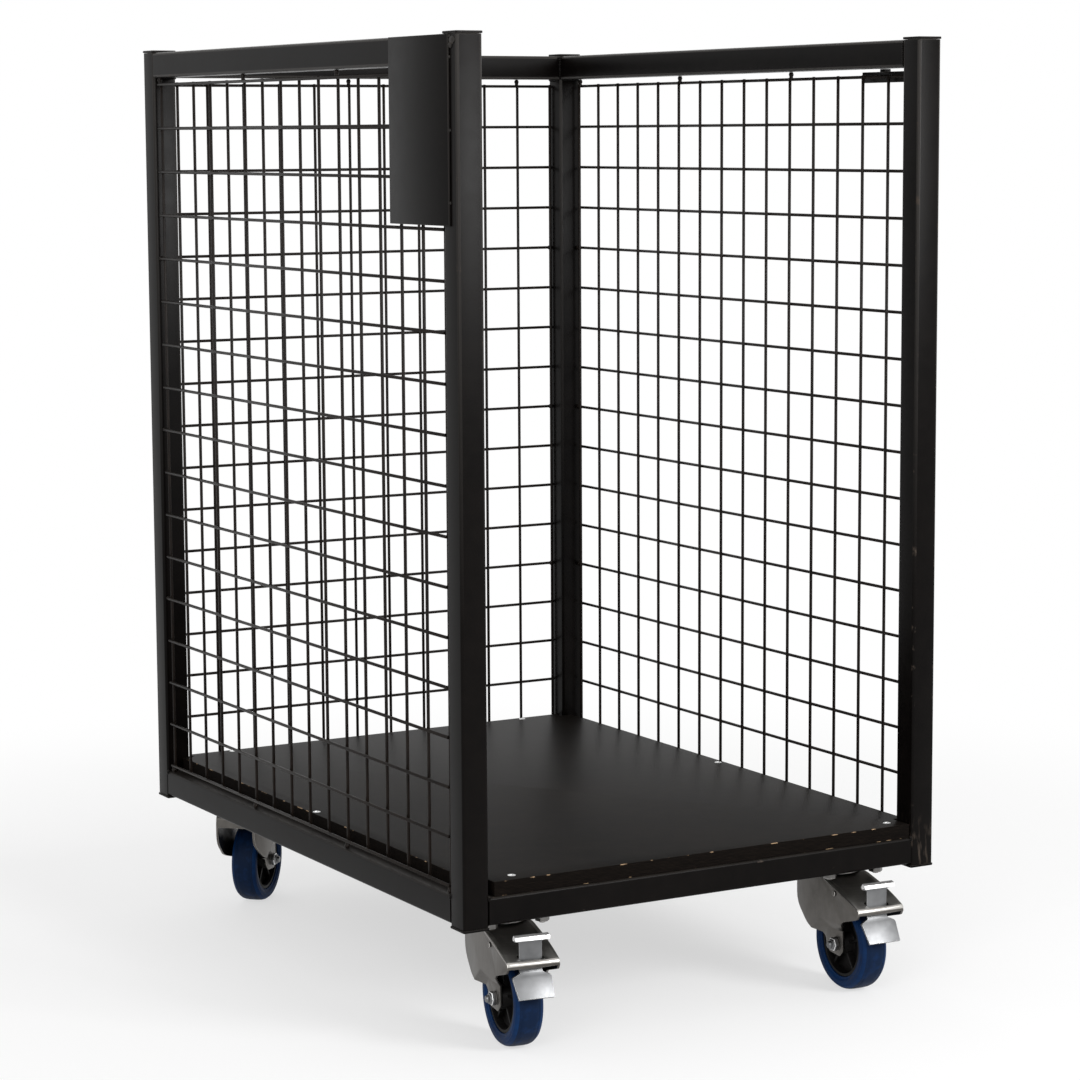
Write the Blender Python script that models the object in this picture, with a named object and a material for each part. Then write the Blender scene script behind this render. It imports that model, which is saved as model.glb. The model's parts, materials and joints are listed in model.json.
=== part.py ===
"""A rolling cart for stage drape, made of welded square tube.

Four posts carry welded wire mesh on the left, the rear and the right. The front is open for loading.
A plywood deck lies on the bottom rails, and a swivel caster sits under each corner. The two front
casters have a foot brake. Lengths are in metres, +X is right, +Y is rear, +Z is up, and the origin
is in the middle of the deck's upper face.
"""

import math

import bmesh
import bpy
from mathutils import Matrix, Vector

# Gap between pieces that touch, and the distance below which two points are one
SEAT = 0.0003
SAME_POINT = 1e-6

# Sizes that belong to the whole cart
POST_SPAN_X = 0.544
POST_SPAN_Y = 0.742
FRAME_HEIGHT = 0.8735

# Square tube, its end caps and how far the posts pass the rails
TUBE = 0.0285
TUBE_WALL = 0.002
TUBE_CORNER = 0.0028
CAP_THICK = 0.0025
CAP_OVERHANG = 0.0005
POST_BELOW_RAIL = 0.0015

# Welded wire mesh: one layer of upright wires, one layer of level wires outside it
WIRE = 0.0034
WIRE_BITE = 0.0002
WIRE_PAST_EDGE = 0.0021
PITCH_ALONG = 0.0464
PITCH_UP = 0.050
MESH_LEAST_MARGIN = 0.0025
MESH_OUTSET = 0.0095
LUG = 0.0044
LUG_EVERY_ALONG = 5
LUG_EVERY_UP = 4

# Plywood deck on the bottom rails, cut out round the posts
DECK_THICK = 0.015
DECK_EDGE_INSIDE_POST_LINE = 0.004
DECK_FRONT_SETBACK = 0.001
DECK_GAP_LEFT = 0.0065
DECK_GAP_RIGHT = 0.0020
DECK_GAP_REAR = 0.004

# Bare sheet plate outside the left panel, and the hanging strip outside the right one
PLATE_LENGTH = 0.1245
PLATE_HEIGHT = 0.183
PLATE_THICK = 0.002
STRIP_LENGTH = 0.110
STRIP_HEIGHT = 0.0115
STRIP_THICK = 0.0025
STRIP_DROP = 0.003
STRIP_TAB = 0.009

# Steel pads in the corners of the bottom frame, which the casters are bolted to
PAD_THICK = 0.005
PAD_MARGIN = 0.007
PAD_CHAMFER = 0.022

# Caster, measured down from the underside of the bottom rails
CASTER_HEIGHT = 0.136
CASTER_INSET_X = 0.065
CASTER_INSET_Y = 0.059
TRAIL = 0.038
TOP_PLATE_X = 0.085
TOP_PLATE_Y = 0.105
TOP_PLATE_THICK = 0.003
TOP_PLATE_CORNER = 0.008
BOLT_SPACING_X = 0.060
BOLT_SPACING_Y = 0.075
BOLT = 0.008
BOLT_HEAD = 0.013
BOLT_HEAD_HEIGHT = 0.0053
BOLT_NUT_HEIGHT = 0.0105
HOLE_PLAY = 0.0003
RACE_RADIUS = 0.0305
RACE_DEPTH = 0.0104
RACE_CHAMFER = 0.0035
KING_PIN = 0.012
KING_PIN_HEAD = 0.022
KING_PIN_HEAD_HEIGHT = 0.006
PIN_HEAD_CHAMFER = 0.002
PIN_BELOW_PLATE_FACE = 0.0005

# Wheel: a rubber tyre on a moulded hub
WHEEL_RADIUS = 0.050
TYRE_WIDTH = 0.030
TYRE_BASE_WIDTH = 0.027
TYRE_DEPTH = 0.0135
SHOULDER = 0.0035
HUB_RIM_WIDTH = 0.025
HUB_LENGTH = 0.0324
HUB_RIM_DEPTH = 0.004
HUB_BOSS_RADIUS = 0.0115
HUB_WEB = 0.006
HUB_RIBS = 5
HUB_RIB_THICK = 0.003
HUB_RIB_WIDTH = 0.019

# Pressed steel fork. Drops are measured down from the frame, reaches back from the swivel axis
FORK_WALL = 0.0025
FORK_HALF_TOP = 0.0285
FORK_NOSE_TUCK = 0.0045
FORK_RIDGE = 0.0035
FORK_ROUND = 0.010
BEND_TOP = 0.059
BEND_FOOT = 0.070
CREASE_X = 0.021
BEND_SLOPE = 0.8
CROWN_REACH = 0.024
NOSE_REACH = 0.034
NOSE_WALL_DROP = 0.020
NOSE_CLEAR = 0.020
SWEEP_LOW_X = 0.011
SWEEP_LOW_DROP = 0.0715
SWEEP_HIGH_DROP = 0.053
SWEEP_ROUND = 0.022
LEG_NECK_AHEAD = 0.021
LEG_NECK_ABOVE_AXLE = 0.004
CHEEK_DROP = 0.0465
CHEEK_REACH = 0.0945
CHEEK_FOOT_X = 0.066
CHEEK_FOOT_DROP = 0.055
PLAIN_REACH = 0.062
LEG_HALF = 0.0125
LEG_BELOW_AXLE = 0.012
AXLE = 0.008
AXLE_HEAD = 0.013
AXLE_HEAD_HEIGHT = 0.0053
AXLE_NUT_HEIGHT = 0.007
AXLE_PAST_NUT = 0.003

# Brake hood and pedal of the front casters
HOOD_REACH = 0.097
HOOD_REAR_DROP = 0.0165
HOOD_LIP = 0.006
BLADE_X = 0.0865
SLOT_AHEAD = 0.0045
SLOT_BEHIND = 0.006
SLOT_HALF_WIDTH = 0.0135
BRAKE_PIVOT_X = 0.049
BRAKE_PIVOT_DROP = 0.0270
BRAKE_PIN = 0.004
BRAKE_PIN_HEAD = 0.0064
BRAKE_PIN_HEAD_HEIGHT = 0.0012
BRAKE_BARREL = 0.0066
BRAKE_BARREL_HALF = 0.020
PEDAL_SHEET = 0.0025
PEDAL_NECK_HALF = 0.0122
PEDAL_TAB_HALF = 0.0185
PEDAL_TREAD_HALF = 0.021
PEDAL_TREAD_FOOT_HALF = 0.0185
PEDAL_ARM_HALF = 0.010
PEDAL_REACH = 0.104
PEDAL_TREAD_FALL = 0.020
PEDAL_TAB_DROP = 0.010
TAB_HEIGHT = 0.0065
TREAD_DROP = 0.052
ARM_FALL = 0.010
SHOE_SPAN = (0.35, 0.60)
SHOE_DEPTH = 0.0055

# Swivel angle of each caster's trailing wheel, in degrees from +X towards +Y
SWIVEL = {"front_left": -97.8, "front_right": -92.9, "rear_left": 45.2, "rear_right": 74.0}
BRAKED = ("front_left", "front_right")

# Facets of round shapes
WHEEL_STEPS = 20
PIN_STEPS = 10
SMALL_ROUND_STEPS = 6
SMALL_ARC_FACET = math.radians(46)
LARGE_ARC_FACET = math.radians(18)
LARGE_ARC = 0.015

# Heights that follow from the sizes above
FRAME_BOTTOM = -(DECK_THICK + SEAT + TUBE)
FRAME_TOP = FRAME_BOTTOM + FRAME_HEIGHT
AXLE_DROP = CASTER_HEIGHT - WHEEL_RADIUS
HALF_X = POST_SPAN_X / 2
HALF_Y = POST_SPAN_Y / 2
HALF_TUBE = TUBE / 2
CROWN_DROP = SEAT + TOP_PLATE_THICK + RACE_DEPTH + SEAT
FORK_HALF_FOOT = HUB_LENGTH / 2 + SEAT + FORK_WALL

CORNERS = {
    "front_left": (-1, -1),
    "front_right": (1, -1),
    "rear_left": (-1, 1),
    "rear_right": (1, 1),
}


def clear_scene():
    """Empties the open scene, so that the script can be run again."""
    for old in list(bpy.data.objects):
        bpy.data.objects.remove(old, do_unlink=True)


def material(name, colour, roughness, metallic=0.0):
    """One plain finish: colour, roughness and how metallic it is."""
    made = bpy.data.materials.new(name)
    made.use_nodes = True
    shader = made.node_tree.nodes["Principled BSDF"]
    shader.inputs["Base Color"].default_value = (*colour, 1.0)
    shader.inputs["Roughness"].default_value = roughness
    shader.inputs["Metallic"].default_value = metallic
    return made


def finishes():
    """The cart's materials by the name that the pieces ask for."""
    return {
        "powder_coat": material("powder_coat", (0.022, 0.020, 0.019), 0.55),
        "board": material("film_faced_board", (0.016, 0.015, 0.015), 0.45),
        "zinc": material("bright_zinc", (0.56, 0.57, 0.58), 0.32, 1.0),
        "rubber": material("blue_rubber", (0.020, 0.060, 0.150), 0.60),
        "nylon": material("black_nylon", (0.010, 0.010, 0.011), 0.45),
    }


def mesh_of(name, build):
    """Runs build on an empty bmesh and returns it as a mesh with its faces pointing out."""
    work = bmesh.new()
    build(work)
    bmesh.ops.remove_doubles(work, verts=work.verts, dist=SAME_POINT)
    bmesh.ops.recalc_face_normals(work, faces=work.faces)
    made = bpy.data.meshes.new(name)
    work.to_mesh(made)
    work.free()
    return made


def loft(work, rings):
    """Joins rings of equally many points with quads and closes both ends."""
    rows = [[work.verts.new(point) for point in ring] for ring in rings]
    count = len(rows[0])
    for row, after in zip(rows, rows[1:]):
        for i in range(count):
            j = (i + 1) % count
            work.faces.new((row[i], row[j], after[j], after[i]))
    work.faces.new(reversed(rows[0]))
    work.faces.new(rows[-1])


def ring_loft(work, rings):
    """Joins rings in a closed chain, which leaves a hole through the middle."""
    rows = [[work.verts.new(point) for point in ring] for ring in rings]
    count = len(rows[0])
    for row, after in zip(rows, rows[1:] + rows[:1]):
        for i in range(count):
            j = (i + 1) % count
            work.faces.new((row[i], row[j], after[j], after[i]))


def rounded(corners):
    """Outline through (u, v, radius) corners, each radius drawn as an arc of straight facets."""
    points = []
    for i, (u, v, radius) in enumerate(corners):
        here = Vector((u, v))
        before = Vector(corners[i - 1][:2]) - here
        after = Vector(corners[(i + 1) % len(corners)][:2]) - here
        if radius <= 0:
            points.append(here)
            continue
        half = before.angle(after) / 2
        most = 0.49 * min(before.length, after.length) * math.tan(half)
        radius = min(radius, most)
        reach = radius / math.tan(half)
        start = here + before.normalized() * reach
        end = here + after.normalized() * reach
        centre = here + (before.normalized() + after.normalized()).normalized() * (radius / math.sin(half))
        facet = LARGE_ARC_FACET if radius > LARGE_ARC else SMALL_ARC_FACET
        steps = math.ceil((math.pi - 2 * half) / facet)
        for step in range(steps + 1):
            chord = start.lerp(end, step / steps) - centre
            points.append(centre + chord.normalized() * radius)
    return points


def rectangle(half_u, half_v, radius):
    """Rectangle outline about its middle with round corners."""
    corners = [(half_u, half_v), (-half_u, half_v), (-half_u, -half_v), (half_u, -half_v)]
    return rounded([(u, v, radius) for u, v in corners])


def chamfered(half_u, half_v, cut):
    """Rectangle outline about its middle with cut corners."""
    points = []
    for side_u, side_v in ((1, 1), (-1, 1), (-1, -1), (1, -1)):
        ends = [(half_u * side_u, (half_v - cut) * side_v), ((half_u - cut) * side_u, half_v * side_v)]
        if side_u * side_v < 0:
            ends.reverse()
        points += [Vector(end) for end in ends]
    return points


def prism(work, outline, low, high):
    """Upright solid over an outline in X and Y."""
    loft(work, [[(p.x, p.y, z) for p in outline] for z in (low, high)])


def disc_outline(radius, steps, centre=(0.0, 0.0), turn=0.5):
    """Regular outline of a round, turned by a share of one facet."""
    angles = [2 * math.pi * (i + turn) / steps for i in range(steps)]
    return [Vector((centre[0] + radius * math.cos(a), centre[1] + radius * math.sin(a))) for a in angles]


def hexagon(across_flats, centre=(0.0, 0.0)):
    """Outline of a nut or bolt head by its spanner size."""
    return disc_outline(across_flats / 2 / math.cos(math.pi / 6), 6, centre, 0)


def cylinder_y(work, radius, low, high, x, z, steps=SMALL_ROUND_STEPS):
    """Round bar along Y."""
    outline = disc_outline(radius, steps, (x, z))
    loft(work, [[(p.x, y, p.y) for p in outline] for y in (low, high)])


def combined(name, base, steps):
    """Mesh of base after a list of (mesh, operation) Boolean steps."""
    holder = bpy.data.objects.new(name + "_work", base)
    bpy.context.scene.collection.objects.link(holder)
    helpers = []
    for number, (other, operation) in enumerate(steps):
        helper = bpy.data.objects.new(f"{name}_step_{number}", other)
        helper.hide_render = True
        helper.display_type = "WIRE"
        bpy.context.scene.collection.objects.link(helper)
        helpers.append(helper)
        cut = holder.modifiers.new(f"step_{number}", "BOOLEAN")
        cut.operation = operation
        cut.object = helper
    bpy.context.view_layer.update()
    seen = holder.evaluated_get(bpy.context.evaluated_depsgraph_get())
    made = bpy.data.meshes.new_from_object(seen)
    made.name = name
    for used in [holder, *helpers]:
        bpy.data.objects.remove(used, do_unlink=True)
    work = bmesh.new()
    work.from_mesh(made)
    bmesh.ops.remove_doubles(work, verts=work.verts, dist=SAME_POINT)
    bmesh.ops.dissolve_degenerate(work, edges=work.edges, dist=SAME_POINT)
    work.to_mesh(made)
    work.free()
    return made


def place(name, shape, finish, location=(0, 0, 0), rotation=(0, 0, 0), parent=None, sharp=35):
    """Puts one named piece in the scene with its finish, smooth where it is round."""
    piece = bpy.data.objects.new(name, shape)
    bpy.context.scene.collection.objects.link(piece)
    if not shape.materials:
        shape.materials.append(finish)
    else:
        shape.materials[0] = finish
    shape.shade_smooth()
    shape.set_sharp_from_angle(angle=math.radians(sharp))
    piece.parent = parent
    piece.location = location
    piece.rotation_euler = rotation
    return piece


def joint_empty(name, location, parent=None, turn=0.0):
    """Empty on a joint's axis, which the moving pieces hang from."""
    axis = bpy.data.objects.new(name, None)
    axis.empty_display_size = 0.03
    bpy.context.scene.collection.objects.link(axis)
    axis.parent = parent
    axis.location = location
    axis.rotation_euler = (0, 0, math.radians(turn))
    return axis


def corner_position(corner):
    """Middle of a post in plan."""
    side, end = CORNERS[corner]
    return side * HALF_X, end * HALF_Y


def tube_mesh(name, length):
    """Square tube along Z from 0 to its length, open at both ends."""

    def build(work):
        outer = rectangle(HALF_TUBE, HALF_TUBE, TUBE_CORNER)
        bore = HALF_TUBE - TUBE_WALL
        inner = rectangle(bore, bore, TUBE_CORNER - TUBE_WALL)
        rings = [[(p.x, p.y, z) for p in outer] for z in (0, length)]
        rings += [[(p.x, p.y, z) for p in inner] for z in (length, 0)]
        ring_loft(work, rings)

    return mesh_of(name, build)


def make_posts(finish):
    """Four posts, each closed by a thin plate at the head and at the foot."""
    foot = FRAME_BOTTOM - POST_BELOW_RAIL
    shape = tube_mesh("post", FRAME_TOP - foot)
    half_cap = HALF_TUBE + CAP_OVERHANG

    def cap(work):
        prism(work, chamfered(half_cap, half_cap, TUBE_CORNER / 2), 0, CAP_THICK)

    cap_shape = mesh_of("post_cap", cap)
    for corner in CORNERS:
        x, y = corner_position(corner)
        place(f"post_{corner}", shape, finish, (x, y, foot))
        place(f"post_cap_head_{corner}", cap_shape, finish, (x, y, FRAME_TOP + SEAT))
        place(f"post_cap_foot_{corner}", cap_shape, finish, (x, y, foot - SEAT - CAP_THICK))


def make_rails(finish):
    """Rails between the posts: four at the bottom, three at the top, none over the open front."""
    length_x = POST_SPAN_X - TUBE - 2 * SEAT
    length_y = POST_SPAN_Y - TUBE - 2 * SEAT
    along_x = tube_mesh("rail_across", length_x)
    along_y = tube_mesh("rail_lengthways", length_y)
    quarter = math.pi / 2
    for level, z, ends in (
        ("bottom", FRAME_BOTTOM + HALF_TUBE, ("front", "rear")),
        ("top", FRAME_TOP - HALF_TUBE, ("rear",)),
    ):
        for end in ends:
            y = HALF_Y if end == "rear" else -HALF_Y
            place(f"rail_{level}_{end}", along_x, finish, (-length_x / 2, y, z), (0, quarter, 0))
        for side, x in (("left", -HALF_X), ("right", HALF_X)):
            place(f"rail_{level}_{side}", along_y, finish, (x, length_y / 2, z), (quarter, 0, 0))


def wire_bar(work, start, end):
    """Six-sided wire between two points, with an edge towards the other layer."""
    axis = (end - start).normalized()
    out = Vector((0, 1, 0))
    side = axis.cross(out)
    rings = []
    for centre in (start, end):
        turns = [math.pi / 3 * i for i in range(6)]
        rings.append([centre + WIRE / 2 * (out * math.cos(a) + side * math.sin(a)) for a in turns])
    loft(work, rings)


def lug_bar(work, start, end):
    """Four-sided lug that carries a border wire on the tube beside it."""
    side = (end - start).normalized().cross(Vector((0, 1, 0))) * LUG / 2
    out = Vector((0, LUG / 2, 0))
    loft(work, [[centre + turn for turn in (side, out, -side, -out)] for centre in (start, end)])


def mesh_panel(name, opening_width, opening_height):
    """Welded wire mesh for one opening, about its middle: X along, Z up, the level wires at -Y.

    The wires turn an edge to the other layer, and the edges bite into one another at the welds.
    The first, the last and the lugs' uprights are welded to each level wire. The uprights between
    them sit further in, are welded to the two border wires and pass the others at the seat gap.
    """
    cells_along = int((opening_width - 2 * MESH_LEAST_MARGIN) / PITCH_ALONG)
    cells_up = int((opening_height - 2 * MESH_LEAST_MARGIN) / PITCH_UP)
    half_width = cells_along * PITCH_ALONG / 2
    half_height = cells_up * PITCH_UP / 2
    depth = WIRE / 2 - WIRE_BITE / 2
    set_in = WIRE_BITE + SEAT
    columns = [-half_width + PITCH_ALONG * i for i in range(cells_along + 1)]
    rows = [-half_height + PITCH_UP * i for i in range(cells_up + 1)]

    def uprights(work):
        reach = half_height + WIRE_PAST_EDGE
        for i, x in enumerate(columns):
            carrying = i % LUG_EVERY_ALONG == 0 or i == cells_along
            y = depth if carrying else depth + set_in
            wire_bar(work, Vector((x, y, -reach)), Vector((x, y, reach)))

    def levels(work):
        reach = half_width + WIRE_PAST_EDGE
        for i, z in enumerate(rows):
            y = -depth + set_in if i in (0, cells_up) else -depth
            wire_bar(work, Vector((-reach, y, z)), Vector((reach, y, z)))

    def lugs(work):
        root_x = half_width - WIRE / 4
        root_z = half_height - WIRE / 4
        for way in (-1, 1):
            for x in columns[::LUG_EVERY_ALONG]:
                lug_bar(work, Vector((x, 0, way * root_z)), Vector((x, 0, way * (opening_height / 2 - SEAT))))
            for z in rows[LUG_EVERY_UP:-1:LUG_EVERY_UP]:
                lug_bar(work, Vector((way * root_x, 0, z)), Vector((way * (opening_width / 2 - SEAT), 0, z)))

    steps = [(mesh_of("level_wires", levels), "UNION"), (mesh_of("lugs", lugs), "UNION")]
    return combined(name, mesh_of("upright_wires", uprights), steps)


def make_mesh_panels(finish):
    """Mesh in the left, rear and right openings, near the tubes' outer faces."""
    low = FRAME_BOTTOM + TUBE
    high = FRAME_TOP - TUBE
    middle = (low + high) / 2
    quarter = math.pi / 2
    side_shape = mesh_panel("mesh_side", POST_SPAN_Y - TUBE, high - low)
    rear_shape = mesh_panel("mesh_rear", POST_SPAN_X - TUBE, high - low)
    out_x = HALF_X + MESH_OUTSET
    place("mesh_panel_left", side_shape, finish, (-out_x, 0, middle), (0, 0, -quarter))
    place("mesh_panel_right", side_shape, finish, (out_x, 0, middle), (0, 0, quarter))
    place("mesh_panel_rear", rear_shape, finish, (0, HALF_Y + MESH_OUTSET, middle), (0, 0, math.pi))


def make_deck(finish):
    """Plywood board on the bottom rails, level with the front tubes and cut out round the posts."""
    side = HALF_X - DECK_EDGE_INSIDE_POST_LINE
    rear = HALF_Y - DECK_EDGE_INSIDE_POST_LINE
    front = -(HALF_Y + HALF_TUBE - DECK_FRONT_SETBACK)
    post_face_x = HALF_X - HALF_TUBE
    post_face_y = HALF_Y - HALF_TUBE
    left = -(post_face_x - DECK_GAP_LEFT)
    right = post_face_x - DECK_GAP_RIGHT
    rear_x = post_face_x - DECK_GAP_REAR
    rear_y = post_face_y - DECK_GAP_REAR
    front_left_y = -(post_face_y - DECK_GAP_LEFT)
    front_right_y = -(post_face_y - DECK_GAP_RIGHT)
    outline = [
        (left, front),
        (right, front),
        (right, front_right_y),
        (side, front_right_y),
        (side, rear_y),
        (rear_x, rear_y),
        (rear_x, rear),
        (-rear_x, rear),
        (-rear_x, rear_y),
        (-side, rear_y),
        (-side, front_left_y),
        (left, front_left_y),
    ]

    def build(work):
        prism(work, [Vector(p) for p in outline], -DECK_THICK, 0)

    place("deck_board", mesh_of("deck_board", build), finish)


def make_plate(finish):
    """Bare sheet plate outside the left panel, from the front post's middle and level with the rail."""
    half_length = PLATE_LENGTH / 2
    half_height = PLATE_HEIGHT / 2

    def build(work):
        prism(work, chamfered(half_height, half_length, PLATE_THICK / 2), 0, PLATE_THICK)

    x = -(HALF_X + HALF_TUBE + SEAT)
    y = -HALF_Y + half_length
    z = FRAME_TOP - half_height
    place("side_plate", mesh_of("side_plate", build), finish, (x, y, z), (0, -math.pi / 2, 0))


def make_strip(finish):
    """Flat strip that hangs outside the right panel's mesh on two tabs welded under the top rail."""
    mesh_face = HALF_X + MESH_OUTSET + WIRE - WIRE_BITE / 2
    inner = mesh_face + SEAT
    outer = inner + STRIP_THICK
    tab_inner = HALF_X + HALF_TUBE / 2
    rail_low = FRAME_TOP - TUBE
    top = rail_low - STRIP_DROP
    start = -HALF_Y + HALF_TUBE + SEAT
    end = start + STRIP_LENGTH

    def box(work, low, high):
        plan = [(low[0], low[1]), (high[0], low[1]), (high[0], high[1]), (low[0], high[1])]
        prism(work, [Vector(p) for p in plan], low[2], high[2])

    def strip(work):
        box(work, (inner, start, top - STRIP_HEIGHT), (outer, end, top))

    def tabs(work):
        for share in (0.12, 0.55):
            y = start + share * STRIP_LENGTH
            tab_outer = outer - STRIP_THICK / 4
            box(work, (tab_inner, y, top - STRIP_DROP / 3), (tab_outer, y + STRIP_TAB, rail_low - SEAT))

    shape = combined("hanging_strip", mesh_of("strip", strip), [(mesh_of("strip_tabs", tabs), "UNION")])
    place("hanging_strip", shape, finish)


def bolt_positions():
    """The four bolts of a caster about its swivel axis."""
    for x in (-BOLT_SPACING_X / 2, BOLT_SPACING_X / 2):
        for y in (-BOLT_SPACING_Y / 2, BOLT_SPACING_Y / 2):
            yield x, y


def caster_position(corner):
    """Swivel axis in plan, inwards from the corner's post."""
    x, y = corner_position(corner)
    side, end = CORNERS[corner]
    return x - side * CASTER_INSET_X, y - end * CASTER_INSET_Y


def make_pads(finish):
    """A steel pad in each bottom corner, flush under the rails, with holes for the caster's bolts."""
    edge = HALF_TUBE + SEAT
    far_x = CASTER_INSET_X + TOP_PLATE_X / 2 + PAD_MARGIN
    far_y = CASTER_INSET_Y + TOP_PLATE_Y / 2 + PAD_MARGIN

    def pad(work):
        cut = [(far_x, far_y - PAD_CHAMFER), (far_x - PAD_CHAMFER, far_y)]
        corners = [(edge, edge), (far_x, edge), *cut, (edge, far_y)]
        prism(work, [Vector(p) for p in corners], 0, PAD_THICK)

    def holes(work):
        for x, y in bolt_positions():
            centre = (CASTER_INSET_X + x, CASTER_INSET_Y + y)
            radius = BOLT / 2 + HOLE_PLAY
            prism(work, disc_outline(radius, SMALL_ROUND_STEPS, centre), -PAD_THICK, 2 * PAD_THICK)

    drilled = combined("caster_pad", mesh_of("pad", pad), [(mesh_of("pad_holes", holes), "DIFFERENCE")])
    for corner, (side, end) in CORNERS.items():
        x, y = corner_position(corner)
        shape = drilled.copy()
        mirror = Matrix.Diagonal((-side, -end, 1, 1))
        shape.transform(mirror)
        if side * end < 0:
            shape.flip_normals()
        place(f"caster_pad_{corner}", shape, finish, (x, y, FRAME_BOTTOM))


def top_plate_mesh():
    """Caster's top plate from its upper face down, with the pressed race, the bolts and the pin's bore."""
    head_low = SEAT + PAD_THICK + SEAT
    nut_low = -TOP_PLATE_THICK - BOLT_NUT_HEIGHT
    middle = -TOP_PLATE_THICK / 2

    def plate(work):
        prism(work, rectangle(TOP_PLATE_X / 2, TOP_PLATE_Y / 2, TOP_PLATE_CORNER), -TOP_PLATE_THICK, 0)

    def race(work):
        levels = [(RACE_RADIUS, middle), (RACE_RADIUS, -TOP_PLATE_THICK - RACE_DEPTH + RACE_CHAMFER)]
        levels.append((RACE_RADIUS - RACE_CHAMFER, -TOP_PLATE_THICK - RACE_DEPTH))
        loft(work, [[(p.x, p.y, z) for p in disc_outline(radius, WHEEL_STEPS)] for radius, z in levels])

    def shanks(work):
        for centre in bolt_positions():
            outline = disc_outline(BOLT / 2, SMALL_ROUND_STEPS, centre)
            prism(work, outline, middle, head_low + BOLT_HEAD_HEIGHT / 2)

    def heads(work):
        for centre in bolt_positions():
            prism(work, hexagon(BOLT_HEAD, centre), head_low, head_low + BOLT_HEAD_HEIGHT)

    def nuts(work):
        for centre in bolt_positions():
            prism(work, hexagon(BOLT_HEAD, centre), nut_low, middle)

    def bore(work):
        outline = disc_outline(KING_PIN / 2 + HOLE_PLAY, PIN_STEPS)
        prism(work, outline, -TOP_PLATE_THICK - 2 * RACE_DEPTH, TOP_PLATE_THICK)

    steps = [(mesh_of("part", build), "UNION") for build in (race, shanks, heads, nuts)]
    steps.append((mesh_of("pin_bore", bore), "DIFFERENCE"))
    return combined("caster_plate", mesh_of("plate", plate), steps)


def king_pin_mesh():
    """Pin that holds the fork under the top plate, from the fork crown's upper face as height 0."""
    crown_under = -FORK_WALL - SEAT
    top = CROWN_DROP - SEAT - PIN_BELOW_PLATE_FACE
    levels = [
        (KING_PIN_HEAD / 2 - PIN_HEAD_CHAMFER, crown_under - KING_PIN_HEAD_HEIGHT),
        (KING_PIN_HEAD / 2, crown_under - KING_PIN_HEAD_HEIGHT + PIN_HEAD_CHAMFER),
        (KING_PIN_HEAD / 2, crown_under),
        (KING_PIN / 2, crown_under),
        (KING_PIN / 2, top),
    ]

    def build(work):
        loft(work, [[(p.x, p.y, z) for p in disc_outline(radius, PIN_STEPS)] for radius, z in levels])

    return mesh_of("king_pin", build)


def bend_top(x):
    """Drop at which the fork's bend starts. Ahead of the crease it runs down towards the nose."""
    return BEND_TOP + BEND_SLOPE * max(0, CREASE_X - x)


def fork_half_width(x, drop):
    """Half of the fork's outer width. It narrows in the bend above the axle, and ahead of the crease."""
    bend = (drop - bend_top(x)) / (BEND_FOOT - BEND_TOP)
    half = FORK_HALF_TOP + min(max(bend, 0), 1) * (FORK_HALF_FOOT - FORK_HALF_TOP)
    ahead = max(0, (CREASE_X - x) / (NOSE_REACH + CREASE_X))
    return half - FORK_NOSE_TUCK * ahead


def cut_across(work, ahead, point, normal):
    """Cuts the faces ahead of the crease, or those behind it, along a plane."""
    faces = [face for face in work.faces if (face.calc_center_median().x < CREASE_X) == ahead]
    edges = {edge for face in faces for edge in face.edges}
    verts = {vert for face in faces for vert in face.verts}
    whole = [*verts, *edges, *faces]
    bmesh.ops.bisect_plane(work, geom=whole, plane_co=point, plane_no=normal, dist=SAME_POINT)


def fork_solid(work, outline, inset):
    """Side outline (x, z) made solid over the fork's width less an inset on each side."""
    loft(work, [[(p.x, y, p.y) for p in outline] for y in (-1, 1)])
    whole = [*work.verts, *work.edges, *work.faces]
    bmesh.ops.bisect_plane(work, geom=whole, plane_co=(CREASE_X, 0, 0), plane_no=(1, 0, 0), dist=SAME_POINT)
    for height in (-BEND_TOP, -BEND_FOOT):
        cut_across(work, False, (CREASE_X, 0, height), (0, 0, 1))
        cut_across(work, True, (CREASE_X, 0, height), (-BEND_SLOPE, 0, 1))
    for vert in work.verts:
        vert.co.y *= fork_half_width(vert.co.x, -vert.co.z) - inset


def hood_drop(x):
    """How far the fork's sloping top lies below the frame at a distance behind the swivel axis."""
    slope = HOOD_REAR_DROP / (HOOD_REACH - CROWN_REACH)
    return CROWN_DROP + slope * (x - CROWN_REACH)


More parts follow.
